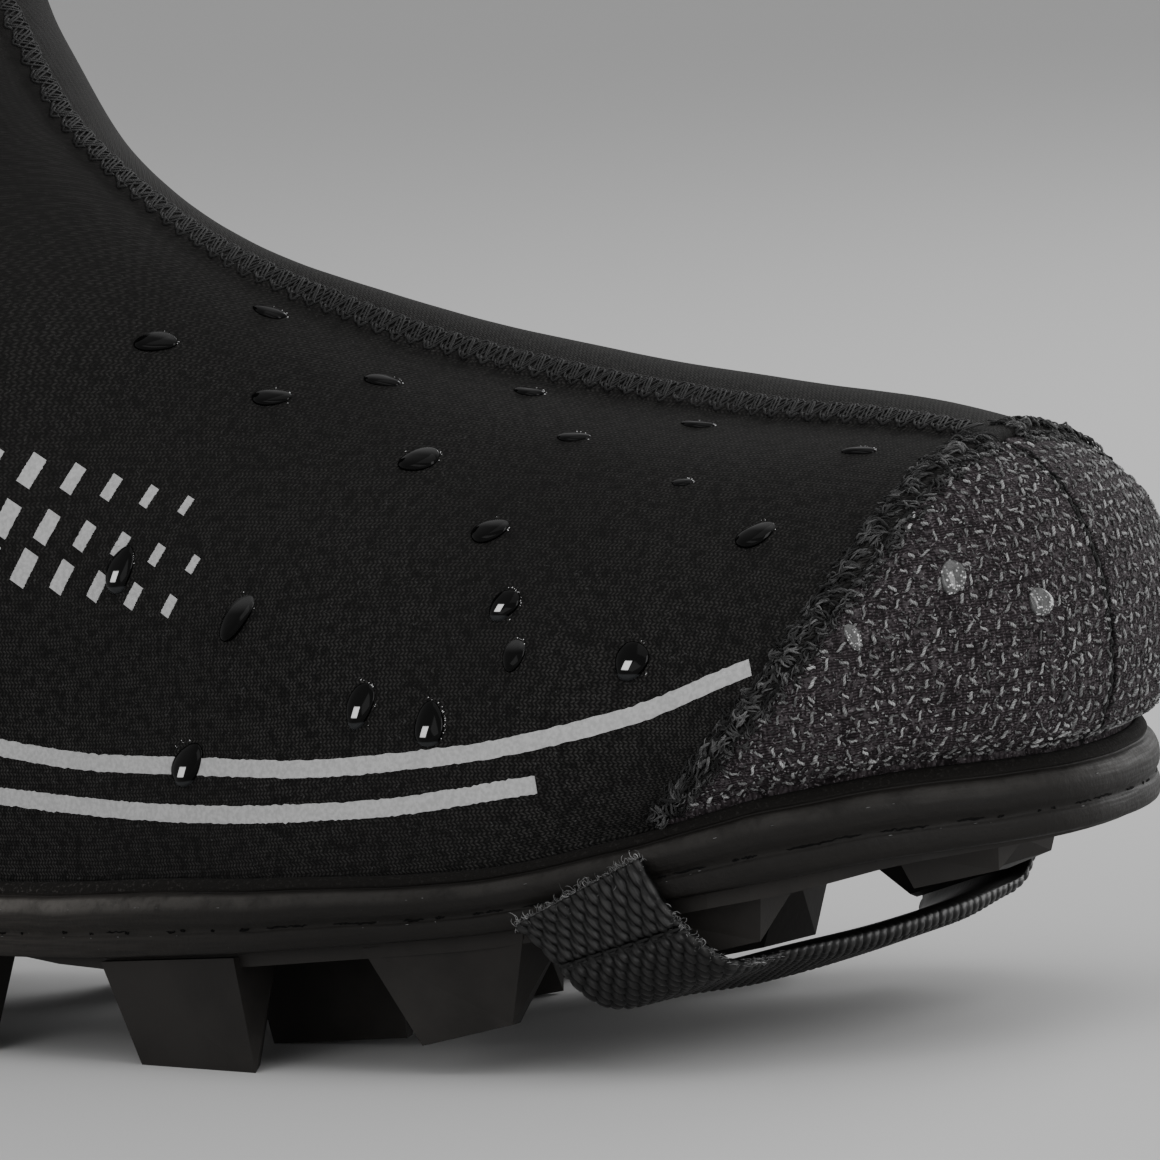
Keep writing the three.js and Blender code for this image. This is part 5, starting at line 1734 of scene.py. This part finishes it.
finish_node("outsole", SOLE_RUBBER, 0.9 * MM)
finish_node("insole", FELT, 1.2 * MM)

# Strap

CELL_LENGTH = 2.2 * MM
CELL_WIDTH = 1.06 * MM
CELL_DEPTH = 0.7 * MM
RIB_LENGTH = 3.1 * MM
SEWN_LENGTH = 9.4 * MM
STRAP_STEP = 0.33 * MM
STRAP_BASE = 1.9 * MM
STRAP_SMOOTHINGS = 36
STRAP_COLUMNS = 91
STRAP_BACK_COLUMNS = 17
# Under the toe the band gets thicker by this share, from and to these lengths from its ends
UNDER_THICKER = 0.5
UNDER_FRONT = (28 * MM, 52 * MM)
UNDER_REAR = (24 * MM, 44 * MM)
TOOTH = 0.45 * MM
SEWN_GROOVE = 0.5 * MM
# Knuckle height given to the strap's inner face, which paints that face with shade nearly as dark as the gaps
BACK_HEIGHT = 0.4


def strap_edges():
    """Inner edges of the strap, rear and front, through its stations."""
    edges = []
    for edge in (-0.5, 0.5):
        side, lean, drop, skew = STRAP_STATIONS.T
        x = SHOE_LENGTH * STRAP_ALONG + (edge + lean) * STRAP_WIDTH
        half = outline_half(np.where(side < 0, LATERAL, MEDIAL), x, -GAP - STRAP_STANDOFF)
        top = mix(rand_bottom(x), rand_top(x), STRAP_REACH)
        down = drop + skew if edge < 0 else drop
        z = mix(top, tread_height(x) - STRAP_SLACK, down)
        edges.append(np.stack([x, side * half, z], -1) + OFFSET)
    return edges


def strap_cells(s, across, total):
    """Height of the woven knuckles, as a share: rounded ovals in rows along the strap, every other row
    shifted by half, with long ribs where the ends are sewn."""
    from_end = np.minimum(s, total - s)
    a = np.where(from_end < SEWN_LENGTH, from_end / RIB_LENGTH,
                 SEWN_LENGTH / RIB_LENGTH + (from_end - SEWN_LENGTH) / CELL_LENGTH)
    b = across / CELL_WIDTH
    a = a + 0.5 * (np.floor(b) % 2) + 0.06 * np.sin(np.floor(b) * 2.1)
    fa, fb = 2 * (a % 1) - 1, 2 * (b % 1) - 1
    oval = np.clip(1 - np.abs(fa) ** 2.4 - np.abs(fb) ** 2.0, 0, 1) ** 0.5
    stitch = bell(from_end - SEWN_LENGTH, SEWN_GROOVE)
    return oval * (1 - 0.9 * stitch) - 0.4 * stitch


def build_strap():
    """Coarse webbing: the band's inner edges joined by a smooth line and thickened outwards, with woven
    knuckles on the outside that also tooth both edges."""
    stations = np.arange(len(STRAP_STATIONS))
    fine = np.linspace(0, stations[-1], 900)
    rear, front = [
        np.stack([smooth_line(stations, edge[:, k])(fine) for k in range(3)], -1) for edge in strap_edges()
    ]
    middle = (rear + front) / 2
    total = path_length(middle)
    places = np.linspace(0, total, int(total / STRAP_STEP))
    rear, front = resample(middle, rear, places), resample(middle, front, places)
    for _ in range(STRAP_SMOOTHINGS):
        for edge in (rear, front):
            edge[1:-1] = 0.5 * edge[1:-1] + 0.25 * (edge[2:] + edge[:-2])
    across = front - rear
    along = np.gradient((rear + front) / 2, axis=0)
    outwards = -unit(np.cross(across, along))
    s = places[:, None]
    ring = np.linspace(0, 1, STRAP_COLUMNS)
    back = np.linspace(1, 0, STRAP_BACK_COLUMNS)
    width = np.linalg.norm(across, axis=1)[:, None]
    cells = strap_cells(s, ring[None, :] * STRAP_WIDTH, total)
    edge_round = (1 - (np.abs(ring - 0.5) * 2) ** 16)[None, :]
    under_toe = smoothstep(s, *UNDER_FRONT) * smoothstep(total - s, *UNDER_REAR)
    base = STRAP_BASE * (1 + UNDER_THICKER * under_toe)
    outer_height = base / 2 + base / 2 * edge_round ** 0.6 + CELL_DEPTH * cells * (0.3 + 0.7 * edge_round)
    tooth = strap_cells(s, np.array([[0.5 * CELL_WIDTH, STRAP_WIDTH - 0.5 * CELL_WIDTH]]), total) * TOOTH
    reach = (ring - 0.5)[None, :] * 2
    push = np.where(reach < 0, -tooth[:, :1], tooth[:, 1:]) * np.abs(reach) ** 12
    outer = (rear[:, None] + across[:, None] * (ring[None, :] + push / width)[..., None]
             + outwards[:, None] * outer_height[..., None])
    back_round = (1 - (np.abs(back - 0.5) * 2) ** 8)[None, :]
    inner_height = STRAP_BASE * 0.45 * (1 - back_round) + 0.05 * MM * np.ones_like(s)
    inner = (rear[:, None] + across[:, None] * back[None, :, None]
             + outwards[:, None] * inner_height[..., None])
    points = np.concatenate([outer, inner], axis=1)
    wide = points.shape[1]
    faces = grid_faces(len(places), wide, closed=True)
    faces.append(list(range(wide)))
    last = (len(places) - 1) * wide
    faces.append([last + k for k in range(wide)][::-1])
    uv = np.stack(np.broadcast_arrays(s, np.concatenate([ring, back])[None, :] * STRAP_WIDTH), -1)
    # The knuckle heights also drive the webbing's painted shade and painted highlight
    height = np.concatenate([cells, np.full((len(places), len(back)), BACK_HEIGHT)], axis=1)
    height = np.stack([height, np.zeros_like(height)], -1)
    piece = make_piece("strap_webbing", points, faces, WEBBING, uv=uv, weld=FINE_WELD,
                       height=height)
    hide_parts("strap")
    return rear, front, outwards


strap_rear, strap_front, strap_out = build_strap()


def strap_place(along, share):
    """Inner point, direction towards the front edge and outward direction at a length and a share of the
    width of the strap."""
    row = np.clip(np.round(np.asarray(along) / STRAP_STEP).astype(int), 0, len(strap_rear) - 1)
    share = np.asarray(share)[..., None]
    forward = strap_front[row] - strap_rear[row]
    return strap_rear[row] + forward * share, unit(forward), strap_out[row]


FRAY_COUNT = 1250
FRAY_AT_END = 0.6
FRAY_POINTS = 6
FRAY_RADIUS = 0.042 * MM
# Rows of sewing stitches across the strap. Columns: length from its end in millimetres, shares of its width
# at which the row starts and ends, number, grade of brightness
SEWING_ROWS = [(9.2, 0.02, 0.98, 8, 2), (9.9, 0.06, 0.95, 8, 1)]
SEWING_STITCH = 0.1
SEWING_RADIUS = 0.2 * MM


def build_fray():
    """Frayed fibres: short curled hairs that cling to the sewn end and to the front edge below it, and
    stitches of sewing thread across the strap."""
    count = FRAY_COUNT
    at_end = rng.uniform(0, 1, count) < FRAY_AT_END
    along = np.where(at_end, np.abs(rng.normal(0, 0.55, count)), rng.uniform(6.5, 30, count)) * MM
    share = np.where(at_end, rng.uniform(0, 1, count) ** 0.8, 1 - np.abs(rng.normal(0, 0.025, count)))
    point, forward, out = strap_place(along, share)
    down = np.cross(forward, out)
    away = np.where(at_end[:, None], down * np.sign(down[:, 2:3] + 1e-9), forward)
    height = np.where(at_end, rng.uniform(0.2, 1.0, count), rng.uniform(0.45, 1.0, count)) * 1.75 * MM
    base = point + out * height[:, None]
    length = rng.gamma(3.0, 0.27, count) * MM
    turn = rng.uniform(0, TURN, count)
    flat = (forward * np.cos(turn)[:, None] + down * np.sin(turn)[:, None]) * 0.8 + out * 0.25 + away * 0.35
    flat = unit(flat)
    bend = np.cross(out, flat) * rng.choice([-1, 1], count)[:, None]
    q = np.linspace(0, 1, FRAY_POINTS)[None, :, None]
    paths = (base[:, None] + flat[:, None] * q * length[:, None, None]
             + bend[:, None] * np.sin(q * 2.6) * 0.4 * length[:, None, None])
    normals = np.repeat(out[:, None], FRAY_POINTS, axis=1)
    grade = grades(rng.gamma(1.6, 1.2, count))
    radius = FRAY_RADIUS * rng.uniform(0.6, 1.5, (count, 1))
    thread_piece("strap_fray", paths, normals, radius, PALE_FIBRE, sides=4, grade=grade)
    stitches = []
    q = np.linspace(0, 1, 7)
    for at, share_low, share_high, number, grade in SEWING_ROWS:
        starts = np.linspace(share_low, share_high - SEWING_STITCH, number)
        share = starts[:, None] + q[None, :] * SEWING_STITCH
        point, _, out = strap_place(np.full_like(share, at * MM), share)
        line = point + out * (STRAP_BASE - 0.05 * MM + 0.25 * MM * np.sin(q * np.pi)[None, :, None])
        stitches.append(threads(line, out, SEWING_RADIUS, grade=np.full(number, grade)))
    joined_piece("strap_sewing", stitches, BLACK_THREAD)


build_fray()

# Printed film

FILM_HALF = 1.25 * MM
FILM_THICK = 0.09 * MM
FILM_SINK = 0.25 * MM
LINE_SAMPLES = 260
BAR_SAMPLES = 26

# Two long lines along the side, in the shoe's own millimetres. Columns: x, z
LINES = [
    [(117, 57), (96, 50), (70, 45.5), (40, 43.5), (8, 43.5), (-25, 46.5), (-55, 53)],
    [(84, 41.5), (55, 38), (20, 36.8), (-15, 38.2), (-48, 43)],
]

# Rows of slanted bars that get smaller towards the toe. Columns: x and z of the first, number
BAR_ROWS = [(-31, 88.5, 8), (-27.5, 80.5, 8), (-24, 73.5, 7)]
BAR_STEP = (7.0, -1.3)
BAR_SHRINK = 0.085
BAR_REACH = 3.1
BAR_SLOPE = np.array([0.5, 0.86])
BAR_HALF = 1.7
LINE_RAGGED = 0.06 * MM
BAR_RAGGED = 0.04 * MM


def film_line(x, z, side, samples):
    """Points on the knit along a line given by x and z, and their normals."""
    lengths = travelled_along(np.stack([x, z], -1))
    even = np.linspace(0, lengths[-1], samples)
    if len(x) > 2:
        x, z = smooth_line(lengths, x)(even), smooth_line(lengths, z)(even)
    else:
        x, z = np.interp(even, lengths, x), np.interp(even, lengths, z)
    u, share = find_on_side(x, z, side)
    here, _, _, normal = surface_frame(u, side, share)
    return here + normal * upper_relief(u, side, share)[:, None], normal


def film_ribbon(path, normal, half, ragged):
    """A flat closed ribbon along a path: square ends, and edges slightly broken by the stitch rows."""
    count = len(path)
    across = unit(np.cross(unit(np.gradient(path, axis=0)), normal))
    share = np.linspace(-1, 1, 9)[None, :]
    uneven = rng.normal(0, 1, (2, count, 1)) * ragged
    reach = share * half + np.where(share < 0, -uneven[0], uneven[1]) * share ** 8
    top = path[:, None] + across[:, None] * reach[..., None] + normal[:, None] * FILM_THICK
    under = top - normal[:, None] * (FILM_THICK + FILM_SINK)
    points = np.concatenate([top, under[:, ::-1]], axis=1)
    wide = points.shape[1]
    k = np.arange(wide // 2 - 1)
    end = np.stack([k, k + 1, wide - 2 - k, wide - 1 - k], -1)
    faces = grid_faces(count, wide, closed=True) + end.tolist() + ((count - 1) * wide + end[:, ::-1]).tolist()
    return points.reshape(-1, 3), faces, np.zeros((count * wide, 2))


def build_film():
    """The long lines, and the rows of bars that get smaller towards the toe, on both sides."""
    lines, bars = [], []
    for side in (LATERAL, MEDIAL):
        for line in LINES:
            x, z = np.array(line, float).T * MM
            lines.append(film_ribbon(*film_line(x, z, side, LINE_SAMPLES), FILM_HALF, LINE_RAGGED))
        for *first, number in BAR_ROWS:
            for column in range(number):
                size = 1 - BAR_SHRINK * column
                middle = np.array(first) + np.array(BAR_STEP) * column
                reach = BAR_REACH * size * BAR_SLOPE
                x, z = np.stack([middle - reach, middle + reach], -1) * MM
                path, normal = film_line(x, z, side, BAR_SAMPLES)
                bars.append(film_ribbon(path, normal, BAR_HALF * size * MM, BAR_RAGGED))
    joined_piece("printed_lines", lines, FILM, smooth=False)
    joined_piece("printed_bars", bars, FILM, smooth=False)


build_film()

# Water beads

# On the outer side of the upper. Columns: x, z, length, width, tilt in degrees, 1 for a bright window
BEADS = [
    (4.6, 101.6, 6.6, 3.6, 8, 0), (16.0, 104.3, 5.8, 2.8, 2, 0), (25.5, 93.4, 5.8, 3.4, 10, 0),
    (39.0, 94.7, 5.8, 3.1, 5, 0), (53.8, 84.6, 6.6, 4.4, 20, 0), (59.9, 91.9, 5.2, 2.6, 0, 0),
    (73.9, 86.5, 5.0, 2.6, 8, 0), (89.0, 86.8, 5.2, 2.6, 8, 0), (118.3, 83.3, 5.0, 2.8, 8, 0),
    (129.7, 84.8, 5.0, 2.4, -5, 0), (96.4, 80.5, 3.4, 1.7, 15, 0), (70.1, 75.3, 5.6, 4.0, 30, 0),
    (112.2, 73.9, 5.8, 4.2, 30, 0), (8.0, 70.6, 7.2, 4.6, 80, 1), (30.9, 64.2, 7.4, 4.4, 50, 0),
    (76.2, 65.6, 5.0, 4.4, 60, 1), (79.3, 59.0, 5.0, 3.4, 70, 0), (97.9, 58.1, 6.0, 5.0, 40, 1),
    (54.2, 52.4, 7.2, 4.2, 65, 1), (66.3, 49.7, 7.0, 4.6, 85, 1), (22.6, 43.7, 7.6, 4.8, 40, 1),
    (-20, 60, 5.5, 4.0, 70, 1), (-52, 78, 6.0, 4.0, 60, 0), (-85, 50, 5.5, 4.2, 80, 1),
    (-70, 120, 4.8, 3.6, 85, 0), (-104, 92, 4.6, 3.6, 80, 0),
]
# Clear beads on the toe cap, same columns
CLEAR_BEADS = [
    (140.7, 67.2, 5.2, 3.6, 100, 0), (147.6, 62.3, 4.6, 3.8, 20, 0), (131.2, 60.5, 3.8, 2.2, 115, 0),
]
BEAD_RINGS = 17
BEAD_SIDES = 30
BEAD_DOME = 0.22
BEAD_DEPTH = 0.3
BEAD_HANG = 0.12
BEAD_SINK = 0.05 * MM
# A bead without a bright window is mapped this far aside
BEAD_ASIDE = 20
WINDOW_SPARKLES = 15
USUAL_SPARKLES = 5
SPARKLE_HALF = (0.06 * MM, 0.16 * MM)
SPARKLE_RADII = (0.03 * MM, 0.075 * MM)


def bead_parts(table, clear):
    """Each bead is a hanging half ball on the cloth: its height is greatest below its middle. The map has
    level and rise as shares of its half size. Also returns the sparkles along its upper right edge."""
    latitude = np.linspace(-np.pi / 2, np.pi / 2, BEAD_RINGS)[:, None]
    longitude = np.linspace(0, TURN, BEAD_SIDES, endpoint=False)[None, :]
    parts, sparks, spark_normals = [], [], []
    for x, z, length, width, tilt, window in table:
        u, share = find_on_side(x * MM, z * MM, LATERAL)
        here, _, _, normal = [v[0] for v in surface_frame(u, LATERAL, share)]
        relief = float(upper_relief(u, LATERAL, share)[0]) if u[0] > CAP_ROW + 0.02 else 0.0
        level = unit(np.array([1.0, 0, 0]) - normal * normal[0])
        rise = np.cross(level, normal)
        rise *= 1 if rise[2] > 0 else -1
        c, s = math.cos(math.radians(tilt)), math.sin(math.radians(tilt))
        wobble = 1 + 0.07 * np.cos(2 * longitude + x) + 0.05 * np.cos(3 * longitude + z)
        radius = np.cos(latitude) ** 0.8 * wobble
        p, q = radius * np.cos(longitude) * length / 2, radius * np.sin(longitude) * width / 2
        a, b = p * c - q * s, p * s + q * c
        half_a, half_b = np.abs(a).max(), np.abs(b).max()
        dome = BEAD_DOME * width * (1 - 0.3 * b / half_b)
        high = np.where(np.sin(latitude) > 0, dome, BEAD_DEPTH)
        b_hung = b - BEAD_HANG * half_b * np.sin(np.clip(latitude, 0, None)) ** 2
        base = here + normal * (relief - BEAD_SINK)
        points = (base + level * (a * MM)[..., None] + rise * (b_hung * MM)[..., None]
                  + normal * (np.sin(latitude) * high * MM)[..., None])
        a_map = a / half_a + (0 if window or clear else BEAD_ASIDE)
        uv = np.stack([a_map, b / half_b * np.ones_like(a)], -1)
        faces = grid_faces(BEAD_RINGS, BEAD_SIDES, closed=True)
        parts.append((points.reshape(-1, 3), faces, uv.reshape(-1, 2)))
        count = WINDOW_SPARKLES if window else USUAL_SPARKLES
        around = rng.normal(0.9, 0.75, count)
        edge = rng.uniform(1.0, 1.13, count)
        ea, eb = np.cos(around) * half_a * edge, np.sin(around) * half_b * edge
        centre = base + level * (ea * MM)[:, None] + rise * (eb * MM)[:, None] + normal * 0.1 * MM
        q = np.linspace(-1, 1, 4)[None, :, None] * rng.uniform(*SPARKLE_HALF, count)[:, None, None]
        sparks.append(centre[:, None] + (level * 0.7 + rise * 0.7) * q)
        spark_normals.append(np.broadcast_to(normal, (count, 4, 3)))
    return parts, np.concatenate(sparks), np.concatenate(spark_normals)


def build_beads():
    """Dark beads on the knit with their sparkles, and clear ones on the cap."""
    parts, sparks, normals = bead_parts(BEADS, False)
    joined_piece("water_beads", parts, WATER)
    radius = rng.uniform(*SPARKLE_RADII, (len(sparks), 1))
    thread_piece("bead_sparkles", sparks, normals, radius, SPARKLE, sides=5)
    parts, _, _ = bead_parts(CLEAR_BEADS, True)
    joined_piece("water_beads_clear", parts, CLEAR_WATER)


build_beads()

# Floor and light


FLOOR_HALF = 20.0
# Floor colour in front, and with painted shade at the back
FLOOR_NEAR = 0.63
FLOOR_FAR_SHADED = 0.525
WORLD_STRENGTH = 0.57
# Columns: name, place, target, width and height, power
LIGHTS = [
    ("overhead", (1.0, -0.5, 2.9), (0.2, -0.1, 0), (3.2, 3.2), 22),
    ("front_panel", (0.5, -2.2, 0.55), (0.05, 0, 0.03), (3.0, 0.9), 12),
    ("right_panel", (1.9, -0.5, 0.36), (0.1, 0, 0.0), (2.2, 0.62), 20),
    ("back_panel", (0.50, 1.5, 0.55), (0.12, 0.0, 0.0), (2.0, 0.6), 18),
]


def build_floor():
    """A wide pale sheet, with painted shade that makes it a little darker towards the back."""
    mesh = bpy.data.meshes.new("floor")
    corners = [(x * FLOOR_HALF, y * FLOOR_HALF, 0) for x, y in ((-1, -1), (1, -1), (1, 1), (-1, 1))]
    mesh.from_pydata(corners, [], [(0, 1, 2, 3)])
    s = Shader("floor_paper", 0.9, specular=0.1)
    x, y, _ = s.split(s.place())
    # Painted shade: the floor colour falls off towards the back
    behind = s.plus(s.times(x, -0.57), s.times(y, 0.82))
    mesh.materials.append(s.finish(s.blend(s.ramp(behind, 0.25, 1.5), grey(FLOOR_NEAR), grey(FLOOR_FAR_SHADED))))
    floor = bpy.data.objects.new("floor", mesh)
    bpy.context.scene.collection.objects.link(floor)


def add_light(name, place, target, size, power):
    """A rectangular soft light that faces its target."""
    data = bpy.data.lights.new(name, "AREA")
    data.shape = "RECTANGLE"
    data.size, data.size_y = size
    data.energy = power
    light = bpy.data.objects.new(name, data)
    bpy.context.scene.collection.objects.link(light)
    from_target = unit(np.array(place, float) - np.array(target, float))
    side = unit(np.cross([0, 1, 0.01], from_target))
    light.matrix_world = placed(side, np.cross(from_target, side), from_target, place)


build_floor()
world = bpy.data.worlds.new("world")
bpy.context.scene.world = world
world.use_nodes = True
world.node_tree.nodes["Background"].inputs["Color"].default_value = grey(1.0)
world.node_tree.nodes["Background"].inputs["Strength"].default_value = WORLD_STRENGTH
for light in LIGHTS:
    add_light(*light)
